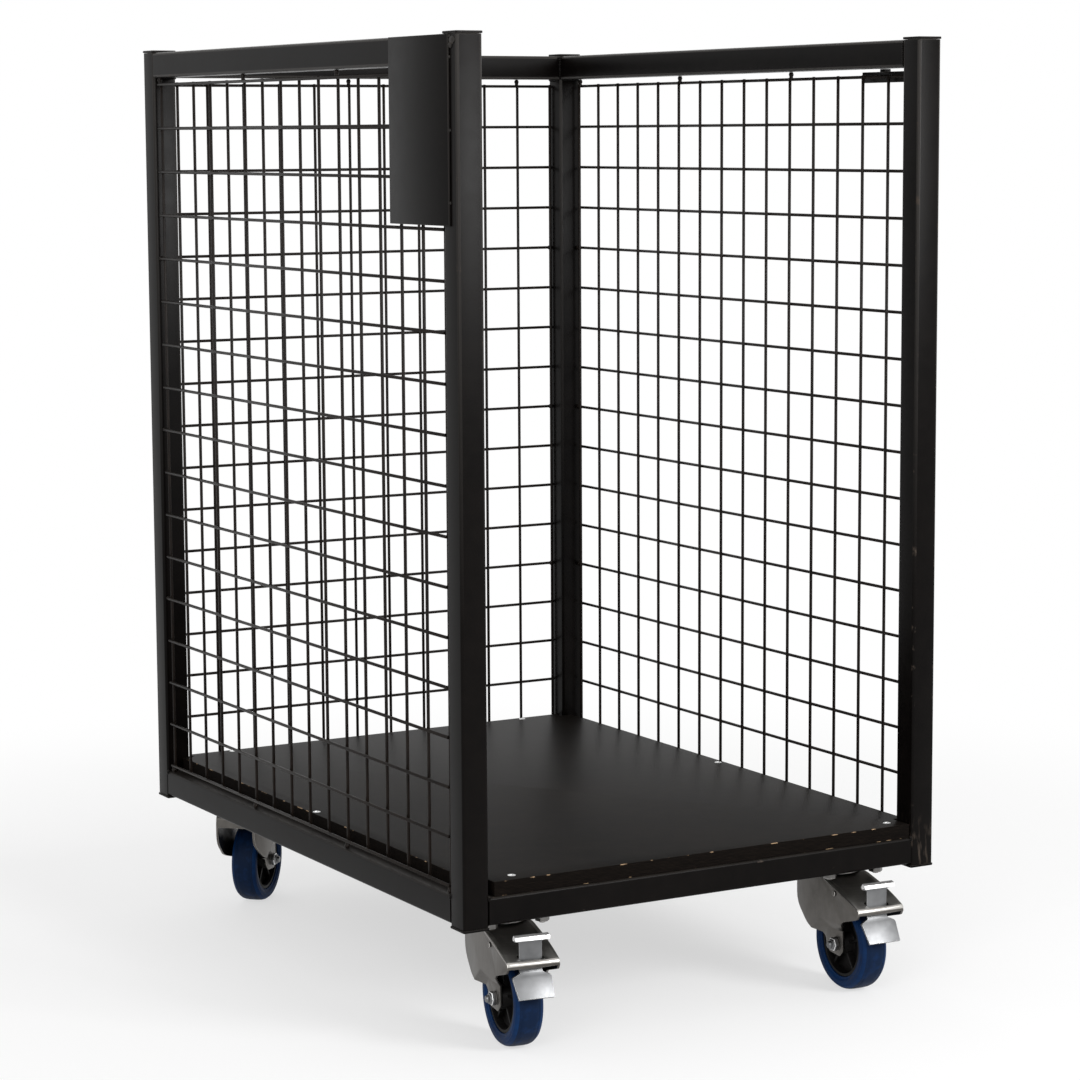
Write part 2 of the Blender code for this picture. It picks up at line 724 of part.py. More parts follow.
def fork_mesh(name, braked):
    """Pressed steel fork about the swivel axis, +X behind it and height 0 at the frame's underside."""
    reach = HOOD_REACH if braked else PLAIN_REACH
    lip = hood_drop(reach) + HOOD_LIP
    cheek = CHEEK_REACH if braked else PLAIN_REACH - HOOD_LIP / 4
    leg = AXLE_DROP + LEG_BELOW_AXLE
    nose_low = CROWN_DROP + NOSE_WALL_DROP
    nose_top = CROWN_DROP + FORK_ROUND * 0.8
    clear = 2 * NOSE_REACH

    # Clockwise from the crown's front: hood, cheek, the leg with its rounded end, and the sweep to the nose
    side = [
        (-CROWN_REACH, CROWN_DROP, FORK_ROUND),
        (CROWN_REACH, CROWN_DROP, 2 * FORK_ROUND),
        (reach, hood_drop(reach), FORK_ROUND / 2),
        (reach - HOOD_LIP / 6, lip, FORK_ROUND / 5),
        (cheek, CHEEK_DROP, FORK_ROUND / 2),
        (min(CHEEK_FOOT_X, cheek - FORK_ROUND / 5), CHEEK_FOOT_DROP, FORK_ROUND / 2),
        (TRAIL + LEG_HALF, BEND_FOOT, FORK_ROUND / 2),
        (TRAIL + LEG_HALF * 1.1, leg - LEG_HALF / 2, FORK_ROUND / 4),
        (TRAIL + LEG_HALF * 0.6, leg, FORK_ROUND / 4),
        (TRAIL - LEG_HALF, leg - LEG_HALF * 0.1, FORK_ROUND / 2),
        (TRAIL - LEG_HALF * 1.5, leg - LEG_HALF * 0.55, FORK_ROUND),
        (TRAIL - LEG_NECK_AHEAD, AXLE_DROP - LEG_NECK_ABOVE_AXLE, FORK_ROUND * 0.4),
        (-SWEEP_LOW_X, SWEEP_LOW_DROP, SWEEP_ROUND),
        (-NOSE_REACH, SWEEP_HIGH_DROP, SWEEP_ROUND),
        (-NOSE_REACH, nose_top, FORK_ROUND * 0.6),
    ]
    hollow = [
        (-CROWN_REACH, CROWN_DROP + FORK_WALL, FORK_ROUND / 2),
        (CROWN_REACH, CROWN_DROP + FORK_WALL, 2 * FORK_ROUND),
        (reach - FORK_WALL, hood_drop(reach - FORK_WALL) + FORK_WALL, 0),
        (reach - FORK_WALL, lip, 0),
        (reach + clear, lip, 0),
        (reach + clear, leg + clear, 0),
        (-NOSE_REACH - NOSE_CLEAR, leg + clear, 0),
        (-NOSE_REACH - NOSE_CLEAR, nose_low, 0),
        (-NOSE_REACH + FORK_WALL, nose_low, 0),
        (-NOSE_REACH + FORK_WALL, nose_top + FORK_WALL / 2, FORK_ROUND / 4),
    ]

    def outer(work):
        fork_solid(work, rounded([(x, -drop, radius) for x, drop, radius in side]), 0)
        bmesh.ops.recalc_face_normals(work, faces=work.faces)
        soft = [edge for edge in work.edges if on_upper_edge(edge, nose_low, lip)]
        bmesh.ops.bevel(
            work,
            geom=soft,
            offset=FORK_RIDGE,
            segments=2,
            profile=0.5,
            affect="EDGES",
            clamp_overlap=True,
            material=-1,
        )

    def inner(work):
        fork_solid(work, rounded([(x, -drop, radius) for x, drop, radius in hollow]), FORK_WALL)

    def holes(work):
        prism(work, disc_outline(KING_PIN / 2 + HOLE_PLAY, PIN_STEPS), -CROWN_DROP - 2 * FORK_WALL, 0)
        reach_y = 2 * FORK_HALF_TOP
        cylinder_y(work, AXLE / 2 + HOLE_PLAY, -reach_y, reach_y, TRAIL, -AXLE_DROP)
        if braked:
            cylinder_y(work, BRAKE_PIN / 2 + HOLE_PLAY, -reach_y, reach_y, BRAKE_PIVOT_X, -BRAKE_PIVOT_DROP)

    def slot(work):
        corners = rectangle((SLOT_AHEAD + SLOT_BEHIND) / 2, SLOT_HALF_WIDTH, PEDAL_SHEET)
        middle = BLADE_X + (SLOT_BEHIND - SLOT_AHEAD) / 2
        outline = [Vector((p.x + middle, p.y)) for p in corners]
        prism(work, outline, -hood_drop(BLADE_X) - HOOD_REAR_DROP, -CROWN_DROP)

    steps = [(mesh_of("fork_hollow", inner), "DIFFERENCE"), (mesh_of("fork_holes", holes), "DIFFERENCE")]
    if braked:
        steps.append((mesh_of("pedal_slot", slot), "DIFFERENCE"))
    return combined(name, mesh_of("fork_outer", outer), steps)


def on_upper_edge(edge, nose_low, lip):
    """Whether an edge runs between a side plate and the fork's crown, hood, or the nose's closed part."""
    if len(edge.link_faces) != 2:
        return False
    plate, strip = sorted(edge.link_faces, key=lambda face: -abs(face.normal.y))
    if abs(plate.normal.y) < 0.5 or abs(strip.normal.y) > 0.5:
        return False
    drop = max(-vert.co.z for vert in edge.verts)
    if strip.normal.x < -0.5:
        return drop < nose_low
    return strip.normal.z > 0.1 and drop < lip


def axle_mesh():
    """Axle bolt along Y through both legs, its head at +Y and its nut at -Y. Height 0 is its own line."""
    face = FORK_HALF_FOOT + SEAT

    def shank(work):
        low = -(face + AXLE_NUT_HEIGHT + AXLE_PAST_NUT)
        cylinder_y(work, AXLE / 2, low, face + AXLE_HEAD_HEIGHT / 2, 0, 0)

    def ends(work):
        outline = hexagon(AXLE_HEAD)
        for low, high in ((face, face + AXLE_HEAD_HEIGHT), (-face - AXLE_NUT_HEIGHT, -face)):
            loft(work, [[(p.x, y, p.y) for p in outline] for y in (low, high)])

    return combined("axle", mesh_of("axle_shank", shank), [(mesh_of("axle_ends", ends), "UNION")])


def turned(work, section):
    """Solid turned about Y from a closed section of (radius, y) points, its facets' middles at the radius."""
    corner = 1 / math.cos(math.pi / WHEEL_STEPS)
    rings = []
    for i in range(WHEEL_STEPS):
        turn = 2 * math.pi * (i + 0.5) / WHEEL_STEPS
        out = Vector((math.cos(turn), math.sin(turn))) * corner
        rings.append([(radius * out.x, y, radius * out.y) for radius, y in section])
    ring_loft(work, rings)


def tyre_mesh():
    """Rubber tyre about its axle: straight sides, soft shoulders and a tread that is a little crowned."""
    base = WHEEL_RADIUS - TYRE_DEPTH
    half = TYRE_WIDTH / 2
    right = [
        (base, TYRE_BASE_WIDTH / 2),
        (base + TYRE_DEPTH / 3, half),
        (WHEEL_RADIUS - SHOULDER, half),
        (WHEEL_RADIUS - SHOULDER / 4, half - SHOULDER),
        (WHEEL_RADIUS, half - 2 * SHOULDER),
    ]

    def build(work):
        turned(work, right + [(radius, -y) for radius, y in reversed(right)])

    return mesh_of("tyre", build)


def hub_mesh():
    """Moulded hub: rim, web and boss turned as one, with ribs on both sides of the web and a bore."""
    rim = WHEEL_RADIUS - TYRE_DEPTH - SEAT
    inner = rim - HUB_RIM_DEPTH
    bore = AXLE / 2 + HOLE_PLAY
    right = [
        (bore, HUB_LENGTH / 2),
        (HUB_BOSS_RADIUS, HUB_LENGTH / 2),
        (HUB_BOSS_RADIUS, HUB_WEB / 2),
        (inner, HUB_WEB / 2),
        (inner, HUB_RIM_WIDTH / 2),
        (rim, HUB_RIM_WIDTH / 2),
    ]

    def disc(work):
        turned(work, right + [(radius, -y) for radius, y in reversed(right)])

    def ribs(work):
        low = HUB_BOSS_RADIUS - HUB_RIB_THICK / 2
        high = inner + HUB_RIM_DEPTH / 2
        for i in range(HUB_RIBS):
            turn = 2 * math.pi * i / HUB_RIBS
            out = Vector((math.cos(turn), math.sin(turn)))
            side = Vector((-out.y, out.x)) * HUB_RIB_THICK / 2
            corners = [out * low + side, out * low - side, out * high - side, out * high + side]
            loft(work, [[(p.x, y, p.y) for p in corners] for y in (-HUB_RIB_WIDTH / 2, HUB_RIB_WIDTH / 2)])

    return combined("hub", mesh_of("hub_disc", disc), [(mesh_of("hub_ribs", ribs), "UNION")])


def strip_outline(line, thickness):
    """Outline of bent sheet of one thickness that follows a line of points."""
    left, right = [], []
    for i, here in enumerate(line):
        ahead = (line[i + 1] - here).normalized() if i + 1 < len(line) else None
        behind = (here - line[i - 1]).normalized() if i > 0 else None
        ahead = ahead or behind
        behind = behind or ahead
        along = (ahead + behind).normalized()
        across = Vector((-along.y, along.x))
        reach = thickness / 2 / max(along.dot(ahead), 0.5)
        left.append(here + across * reach)
        right.append(here - across * reach)
    return left + right[::-1]


def pedal_mesh():
    """Brake pedal about its pin, +X rearwards. A blade passes the hood's slot, with a tab and a tread."""
    blade_x = BLADE_X - BRAKE_PIVOT_X
    tab_top = BRAKE_PIVOT_DROP - PEDAL_TAB_DROP
    neck_low = BRAKE_PIVOT_DROP - TREAD_DROP
    curl = PEDAL_SHEET * 1.4

    # The tab curls over rearwards at the top, and the tread turns rearwards below the neck
    blade = [
        Vector((blade_x + 1.9 * curl, tab_top - 1.5 * curl)),
        Vector((blade_x + 1.6 * curl, tab_top - 0.6 * curl)),
        Vector((blade_x + 0.7 * curl, tab_top - 0.3 * curl)),
        Vector((blade_x, tab_top - 1.3 * curl)),
        Vector((blade_x, neck_low + 2.2 * curl)),
        Vector((blade_x + 1.1 * curl, neck_low)),
        Vector((PEDAL_REACH - BRAKE_PIVOT_X, neck_low - PEDAL_TREAD_FALL)),
    ]
    arm = [Vector((0, 0)), Vector((blade_x, -ARM_FALL))]
    front = [
        (PEDAL_TAB_HALF, tab_top + curl, 0),
        (PEDAL_TAB_HALF, tab_top - TAB_HEIGHT, PEDAL_SHEET),
        (PEDAL_NECK_HALF, tab_top - TAB_HEIGHT - curl / 3, PEDAL_SHEET / 2),
        (PEDAL_NECK_HALF, neck_low + curl, PEDAL_SHEET / 2),
        (PEDAL_TREAD_HALF, neck_low, PEDAL_SHEET),
        (PEDAL_TREAD_FOOT_HALF, neck_low - PEDAL_TREAD_FALL - curl, PEDAL_SHEET),
    ]
    front += [(-y, z, radius) for y, z, radius in reversed(front)]

    def sheet(work):
        half = PEDAL_TREAD_HALF + PEDAL_SHEET
        outline = strip_outline(blade, PEDAL_SHEET)
        loft(work, [[(p.x, y, p.y) for p in outline] for y in (-half, half)])

    def width(work):
        outline = rounded(front)
        loft(work, [[(x, p.x, p.y) for p in outline] for x in (0, 2 * PEDAL_REACH)])

    def lever(work):
        outline = strip_outline(arm, PEDAL_SHEET)
        half = PEDAL_NECK_HALF - PEDAL_SHEET / 2
        loft(work, [[(p.x, y, p.y) for p in outline] for y in (-half, half)])

    def shoe(work):
        start, end = (arm[1] * share for share in SHOE_SPAN)
        down = Vector((0, -(PEDAL_SHEET / 2 + SHOE_DEPTH)))
        outline = [start, start + down, end + down, end]
        loft(work, [[(p.x, y, p.y) for p in outline] for y in (-PEDAL_ARM_HALF, PEDAL_ARM_HALF)])

    def barrel(work):
        cylinder_y(work, BRAKE_BARREL / 2, -BRAKE_BARREL_HALF, BRAKE_BARREL_HALF, 0, 0, PIN_STEPS)

    def bore(work):
        reach = 2 * BRAKE_BARREL_HALF
        cylinder_y(work, BRAKE_PIN / 2 + HOLE_PLAY, -reach, reach, 0, 0)

    steps = [(mesh_of("pedal_width", width), "INTERSECT")]
    steps += [(mesh_of("pedal_piece", build), "UNION") for build in (lever, shoe, barrel)]
    steps.append((mesh_of("pedal_bore", bore), "DIFFERENCE"))
    return combined("brake_pedal", mesh_of("pedal_sheet", sheet), steps)


def brake_pin_mesh():
    """Rivet along Y through the fork's side plates, which the pedal turns on."""
    face = FORK_HALF_TOP + SEAT
    end = face + BRAKE_PIN_HEAD_HEIGHT
    levels = [(BRAKE_PIN_HEAD / 2, -end), (BRAKE_PIN_HEAD / 2, -face), (BRAKE_PIN / 2, -face)]
    levels += [(radius, -y) for radius, y in reversed(levels)]

    def build(work):
        rings = []
        for radius, y in levels:
            rings.append([(p.x, y, p.y) for p in disc_outline(radius, SMALL_ROUND_STEPS)])
        loft(work, rings)

    return mesh_of("brake_pin", build)


def make_casters(zinc, rubber, nylon):
    """A swivel caster under each pad. The fork turns about Z, the wheel and the pedal on level pins."""
    plate = top_plate_mesh()
    pin = king_pin_mesh()
    forks = {True: fork_mesh("fork_braked", True), False: fork_mesh("fork_plain", False)}
    axle = axle_mesh()
    tyre = tyre_mesh()
    hub = hub_mesh()
    pedal = pedal_mesh()
    brake_pin = brake_pin_mesh()
    for corner in CORNERS:
        x, y = caster_position(corner)
        braked = corner in BRAKED
        place(f"caster_plate_{corner}", plate, zinc, (x, y, FRAME_BOTTOM - SEAT))
        place(f"king_pin_{corner}", pin, zinc, (x, y, FRAME_BOTTOM - CROWN_DROP))
        swivel = joint_empty(f"swivel_{corner}", (x, y, FRAME_BOTTOM), None, SWIVEL[corner])
        place(f"fork_{corner}", forks[braked], zinc, parent=swivel)
        wheel = joint_empty(f"wheel_axis_{corner}", (TRAIL, 0, -AXLE_DROP), swivel)
        place(f"axle_{corner}", axle, zinc, parent=wheel)
        place(f"tyre_{corner}", tyre, rubber, parent=wheel)
        place(f"hub_{corner}", hub, nylon, parent=wheel)
        if braked:
            pivot = joint_empty(f"pedal_axis_{corner}", (BRAKE_PIVOT_X, 0, -BRAKE_PIVOT_DROP), swivel)
            place(f"brake_pin_{corner}", brake_pin, zinc, parent=pivot)
            place(f"brake_pedal_{corner}", pedal, zinc, parent=pivot)


def make_cart():
    """Builds the whole cart."""
    clear_scene()
    finish = finishes()
    coat = finish["powder_coat"]
    make_posts(coat)
    make_rails(coat)
    make_mesh_panels(coat)
    make_plate(coat)
    make_strip(coat)
    make_deck(finish["board"])
    make_pads(coat)
    make_casters(finish["zinc"], finish["rubber"], finish["nylon"])


make_cart()
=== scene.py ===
"""Looks of the pipe and drape cart: finishes, welds, round wires, fastenings and the studio."""

import math
import random

import bmesh
import bpy
from mathutils import Matrix, Vector
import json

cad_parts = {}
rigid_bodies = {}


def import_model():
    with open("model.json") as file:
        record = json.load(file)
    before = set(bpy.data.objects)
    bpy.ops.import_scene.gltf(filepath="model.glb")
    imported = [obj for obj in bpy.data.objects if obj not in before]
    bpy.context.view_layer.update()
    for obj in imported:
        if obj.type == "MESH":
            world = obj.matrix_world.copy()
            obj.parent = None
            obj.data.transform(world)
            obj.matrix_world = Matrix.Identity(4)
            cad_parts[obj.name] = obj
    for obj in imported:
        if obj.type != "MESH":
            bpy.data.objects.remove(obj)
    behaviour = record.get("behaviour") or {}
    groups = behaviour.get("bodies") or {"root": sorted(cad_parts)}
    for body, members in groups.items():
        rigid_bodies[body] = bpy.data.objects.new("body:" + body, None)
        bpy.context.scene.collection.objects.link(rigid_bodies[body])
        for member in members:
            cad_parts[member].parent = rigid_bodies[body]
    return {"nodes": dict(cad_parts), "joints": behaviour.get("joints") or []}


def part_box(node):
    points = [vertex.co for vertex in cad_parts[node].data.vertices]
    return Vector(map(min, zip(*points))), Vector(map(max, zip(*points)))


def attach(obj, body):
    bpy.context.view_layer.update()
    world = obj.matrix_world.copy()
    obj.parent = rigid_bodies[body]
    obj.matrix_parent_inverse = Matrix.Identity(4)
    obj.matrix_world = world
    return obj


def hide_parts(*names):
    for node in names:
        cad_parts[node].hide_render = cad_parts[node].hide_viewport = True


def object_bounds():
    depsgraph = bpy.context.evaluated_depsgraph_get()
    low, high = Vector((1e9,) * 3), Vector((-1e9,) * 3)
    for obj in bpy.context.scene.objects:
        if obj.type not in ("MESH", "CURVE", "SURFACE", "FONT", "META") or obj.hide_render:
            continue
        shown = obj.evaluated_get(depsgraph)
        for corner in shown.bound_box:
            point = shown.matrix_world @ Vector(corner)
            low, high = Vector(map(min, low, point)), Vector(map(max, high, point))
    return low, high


for thing in list(bpy.data.objects):
    bpy.data.objects.remove(thing)

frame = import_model()
cad_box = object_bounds()
nodes = frame["nodes"]
joints = {joint["name"]: joint for joint in frame["joints"]}
scene = bpy.context.scene
scene.view_settings.view_transform = "Standard"

# Camera
# The picture is taken from ahead of the left front post, a little over half way up the cart, with a long
# lens. Place and turn come from a fit to the frame's corners and the crossings of the wires.
CAMERA_PLACE = Vector((-1.70451, -3.02910, 0.73386))
CAMERA_YAW = math.radians(29.681)
CAMERA_PITCH = math.radians(-7.412)
CAMERA_ROLL = math.radians(-0.315)
PICTURE_PIXELS = 1080
FOCAL_PIXELS = 3118.29
SENSOR_WIDTH = 36.0

forward = Vector((math.sin(CAMERA_YAW), math.cos(CAMERA_YAW), 0)) * math.cos(CAMERA_PITCH)
forward.z = math.sin(CAMERA_PITCH)
level = Vector((math.cos(CAMERA_YAW), -math.sin(CAMERA_YAW), 0))
overhead = level.cross(forward)
right = level * math.cos(CAMERA_ROLL) + overhead * math.sin(CAMERA_ROLL)
top = overhead * math.cos(CAMERA_ROLL) - level * math.sin(CAMERA_ROLL)
camera = bpy.data.objects.new("camera", bpy.data.cameras.new("camera"))
camera.data.sensor_width = SENSOR_WIDTH
camera.data.lens = FOCAL_PIXELS / PICTURE_PIXELS * SENSOR_WIDTH
camera.data.clip_end = 50
camera.matrix_world = Matrix.Translation(CAMERA_PLACE) @ Matrix((right, top, -forward)).transposed().to_4x4()
scene.collection.objects.link(camera)
scene.camera = camera

# Studio
# A pale floor runs out into a white room, and only close to the cart does it show shade. A wide soft lamp
# stands to the left of the camera and a smaller one to the right, both well above the cart, with a weak one
# behind. The room itself fills the rest.
FLOOR_HALF = 14.0
FLOOR_COLOUR = (0.93, 0.93, 0.93, 1)
SHADE_NEAR = 0.75
SHADE_FAR = 1.60
SHADE_LEFT_OUT = 0.60
ROOM_STRENGTH = 0.60
LAMP_TARGET = Vector((0, 0, 0.3))
LAMPS = (
    ("key_lamp", (-2.5, -2.6, 1.6), 1.6, 46),
    ("front_lamp", (1.25, -3.0, 1.50), 1.0, 72),
    ("back_lamp", (0.6, 2.8, 2.6), 2.0, 14),
)
floor_height = cad_box[0].z

floor_shape = bmesh.new()
bmesh.ops.create_grid(floor_shape, x_segments=1, y_segments=1, size=FLOOR_HALF)
bmesh.ops.translate(floor_shape, vec=(0, 0, floor_height), verts=floor_shape.verts)
floor_mesh = bpy.data.meshes.new("floor")
floor_shape.to_mesh(floor_mesh)
floor_shape.free()
floor = bpy.data.objects.new("floor", floor_mesh)
scene.collection.objects.link(floor)


def filled(tree, node, sockets):
    """Fill a node's sockets with values or with links from other sockets; gives the node."""
    for key, value in sockets.items():
        if isinstance(value, bpy.types.NodeSocket):
            tree.links.new(value, node.inputs[key])
        else:
            node.inputs[key].default_value = value
    return node


def put(tree, kind, sockets=None, **settings):
    """New node with its settings made and its sockets filled."""
    node = tree.nodes.new(kind)
    for key, value in settings.items():
        setattr(node, key, value)
    return filled(tree, node, sockets or {})


def combined(tree, operation, first, second):
    """Two values put together by one operation."""
    return put(tree, "ShaderNodeMath", {0: first, 1: second}, operation=operation).outputs[0]


def shown_rays(tree):
    """One for rays that reach the eye straight, off a gloss or through glass, and nought for light."""
    ray = put(tree, "ShaderNodeLightPath")
    most = ray.outputs["Is Camera Ray"]
    for label in ("Is Glossy Ray", "Is Transmission Ray"):
        most = combined(tree, "MAXIMUM", most, ray.outputs[label])
    return most


floor_paint = bpy.data.materials.new("floor_paint")
floor_paint.use_nodes = True
floor_tree = floor_paint.node_tree
floor_shader = floor_tree.nodes["Principled BSDF"]
filled(floor_tree, floor_shader, {"Base Color": FLOOR_COLOUR, "Roughness": 0.9, "Specular IOR Level": 0.1})
floor_place = put(floor_tree, "ShaderNodeTexCoord").outputs["Object"]
floor_reach = put(floor_tree, "ShaderNodeVectorMath", {0: floor_place}, operation="LENGTH").outputs["Value"]
floor_fade = put(
    floor_tree,
    "ShaderNodeMapRange",
    {"Value": floor_reach, "From Min": SHADE_NEAR, "From Max": SHADE_FAR, "To Min": SHADE_LEFT_OUT},
    interpolation_type="SMOOTHSTEP",
)
floor_share = combined(floor_tree, "MULTIPLY", floor_fade.outputs["Result"], shown_rays(floor_tree))
floor_white = put(floor_tree, "ShaderNodeEmission").outputs[0]
floor_shown = {"Fac": floor_share, 1: floor_shader.outputs[0], 2: floor_white}
floor_mix = put(floor_tree, "ShaderNodeMixShader", floor_shown)
floor_tree.links.new(floor_mix.outputs[0], floor_tree.nodes["Material Output"].inputs["Surface"])
floor_mesh.materials.append(floor_paint)

room = bpy.data.worlds.new("room")
room.use_nodes = True
scene.world = room
room_tree = room.node_tree
room_share = {"Value": shown_rays(room_tree), "To Min": ROOM_STRENGTH, "To Max": 1.0}
brightness = put(room_tree, "ShaderNodeMapRange", room_share).outputs["Result"]
filled(room_tree, room_tree.nodes["Background"], {"Color": (1, 1, 1, 1), "Strength": brightness})

for name, place, size, power in LAMPS:
    lamp = bpy.data.lights.new(name, "AREA")
    lamp.size = size
    lamp.energy = power
    holder = bpy.data.objects.new(name, lamp)
    holder.location = place
    aim = LAMP_TARGET - Vector(place)
    holder.rotation_mode = "QUATERNION"
    holder.rotation_quaternion = aim.to_track_quat("-Z", "Y")
    scene.collection.objects.link(holder)

# Posts and rails
# Square steel tube, mitre-free: the rails butt against the posts and are welded. All of it has one black
# satin powder coat, rubbed brownish at the edges, with a painted highlight on the rounded corners that grows
# paler towards the top, and a little dusty where it faces up.
TUBE_CORNER = 0.0030
POST_END = 0.0007
POWDER_BLACK = (0.0016, 0.0012, 0.0011, 1)
POWDER_WARM = (0.0036, 0.0027, 0.0023, 1)
POWDER_WEAR_AND_HIGHLIGHT = (0.045, 0.035, 0.028, 1)
DUST_COLOUR = (0.20, 0.18, 0.16, 1)
SCUFF_TOP = 0.010
SCUFF_FULL = -0.020
CORNER_HIGHLIGHT_LOW = 0.25
CORNER_HIGHLIGHT_HIGH = 0.85
CORNER_HIGHLIGHT_SHARE = 0.45
CORNER_HIGHLIGHT_COLOUR = (0.068, 0.063, 0.059, 1)


def blended(tree, share, low, high):
    """Colour between two others."""
    return put(tree, "ShaderNodeMix", {0: share, 6: low, 7: high}, data_type="RGBA").outputs[2]


def ranged(tree, value, low, high, to_low=0.0, to_high=1.0):
    """A value's stretch from low to high laid on the stretch from to_low to to_high, and held there."""
    sockets = {"Value": value, "From Min": low, "From Max": high, "To Min": to_low, "To Max": to_high}
    return put(tree, "ShaderNodeMapRange", sockets).outputs["Result"]


def noise(tree, where, scale, detail):
    """Smooth random values over a surface."""
    return put(tree, "ShaderNodeTexNoise", {"Vector": where, "Scale": scale, "Detail": detail}).outputs[0]


def drawn_out(tree, where, scale):
    """Place on the object with its axes scaled, which draws a pattern out along the small ones."""
    return put(tree, "ShaderNodeMapping", {"Vector": where, "Scale": scale}).outputs[0]


def upward_part(tree, vector):
    """How far a vector reaches upwards."""
    return put(tree, "ShaderNodeSeparateXYZ", {"Vector": vector}).outputs[2]


def edge_marks(tree):
    """The marks that the faces carry: one on rubbed edges and on faces marked for painted highlight or shade,
    nought elsewhere.
    """
    return put(tree, "ShaderNodeAttribute", attribute_name="edge").outputs["Fac"]


def new_group(name, output, **amounts):
    """Empty effect that reads a place and some amounts and gives one value, with its two end nodes."""
    tree = bpy.data.node_groups.new(name, "ShaderNodeTree")
    tree.interface.new_socket(name="Vector", in_out="INPUT", socket_type="NodeSocketVector")
    for label, value in amounts.items():
        socket = tree.interface.new_socket(name=label, in_out="INPUT", socket_type="NodeSocketFloat")
        socket.default_value = value
    tree.interface.new_socket(name=output, in_out="OUTPUT", socket_type="NodeSocketFloat")
    return tree, tree.nodes.new("NodeGroupInput"), tree.nodes.new("NodeGroupOutput")


uneven_tone, entry, end = new_group("uneven_tone", "Tone", Scale=10.0)
broad = noise(uneven_tone, entry.outputs[0], entry.outputs[1], 3.0)
fine = noise(uneven_tone, entry.outputs[0], combined(uneven_tone, "MULTIPLY", entry.outputs[1], 7.0), 4.0)
broad = combined(uneven_tone, "MULTIPLY", broad, 0.6)
fine = combined(uneven_tone, "MULTIPLY", fine, 0.4)
both = combined(uneven_tone, "ADD", broad, fine)
uneven_tone.links.new(ranged(uneven_tone, both, 0.32, 0.68), end.inputs[0])

# Marked faces in patches: rubbed wear, and a painted highlight where faces are marked for one.
edge_wear_and_highlight, entry, end = new_group("edge_wear_and_highlight", "Mask", Amount=0.4)
patches = noise(edge_wear_and_highlight, entry.outputs[0], 70.0, 6.0)
share = combined(edge_wear_and_highlight, "MULTIPLY", entry.outputs[1], 0.5)
over = combined(edge_wear_and_highlight, "SUBTRACT", patches, combined(edge_wear_and_highlight, "SUBTRACT", 0.75, share))
mask = combined(edge_wear_and_highlight, "MULTIPLY", ranged(edge_wear_and_highlight, over, 0.0, 0.08), edge_marks(edge_wear_and_highlight))
edge_wear_and_highlight.links.new(mask, end.inputs[0])

hair_scratches, entry, end = new_group("hair_scratches", "Mask", Scale=8.0, Amount=0.3)
layers = []
for turn, squeeze in ((0.5, 26.0), (-0.9, 34.0), (1.35, 30.0)):
    spun = {"Vector": entry.outputs[0], "Rotation": (turn, turn / 2, turn)}
    turned = put(hair_scratches, "ShaderNodeMapping", spun).outputs[0]
    stretched = drawn_out(hair_scratches, turned, (1.0, squeeze, squeeze))
    streaks = {"Vector": stretched, "Scale": entry.outputs[1], "Detail": 2.0, "Distortion": 0.4}
    layers.append(put(hair_scratches, "ShaderNodeTexNoise", streaks).outputs[0])
deepest = combined(hair_scratches, "MAXIMUM", layers[0], layers[1])
deepest = combined(hair_scratches, "MAXIMUM", deepest, layers[2])
share = combined(hair_scratches, "MULTIPLY", entry.outputs[2], 0.25)
over = combined(hair_scratches, "SUBTRACT", deepest, combined(hair_scratches, "SUBTRACT", 0.86, share))
hair_scratches.links.new(ranged(hair_scratches, over, 0.0, 0.05), end.inputs[0])

settled_dust, entry, end = new_group("settled_dust", "Mask", Amount=0.3)
facing = put(settled_dust, "ShaderNodeNewGeometry").outputs["Normal"]
cloud = noise(settled_dust, entry.outputs[0], 14.0, 7.0)
level_share = ranged(settled_dust, upward_part(settled_dust, facing), 0.2, 1.0)
lying = combined(settled_dust, "MULTIPLY", level_share, cloud)
settled_dust.links.new(combined(settled_dust, "MULTIPLY", lying, entry.outputs[1]), end.inputs[0])


def new_finish(name):
    """Empty finish: its material, node tree, shader, and the place on the object."""
    finish = bpy.data.materials.new(name)
    finish.use_nodes = True
    tree = finish.node_tree
    where = put(tree, "ShaderNodeTexCoord").outputs["Object"]
    return finish, tree, tree.nodes["Principled BSDF"], where


def effect(tree, group, **sockets):
    """A shared effect placed in a finish."""
    return put(tree, "ShaderNodeGroup", sockets, node_tree=group).outputs[0]


def bumped(tree, shader, height, depth, strength):
    """Small bumps by a height that changes over the surface."""
    bump = put(tree, "ShaderNodeBump", {"Height": height, "Distance": depth, "Strength": strength})
    tree.links.new(bump.outputs[0], shader.inputs["Normal"])


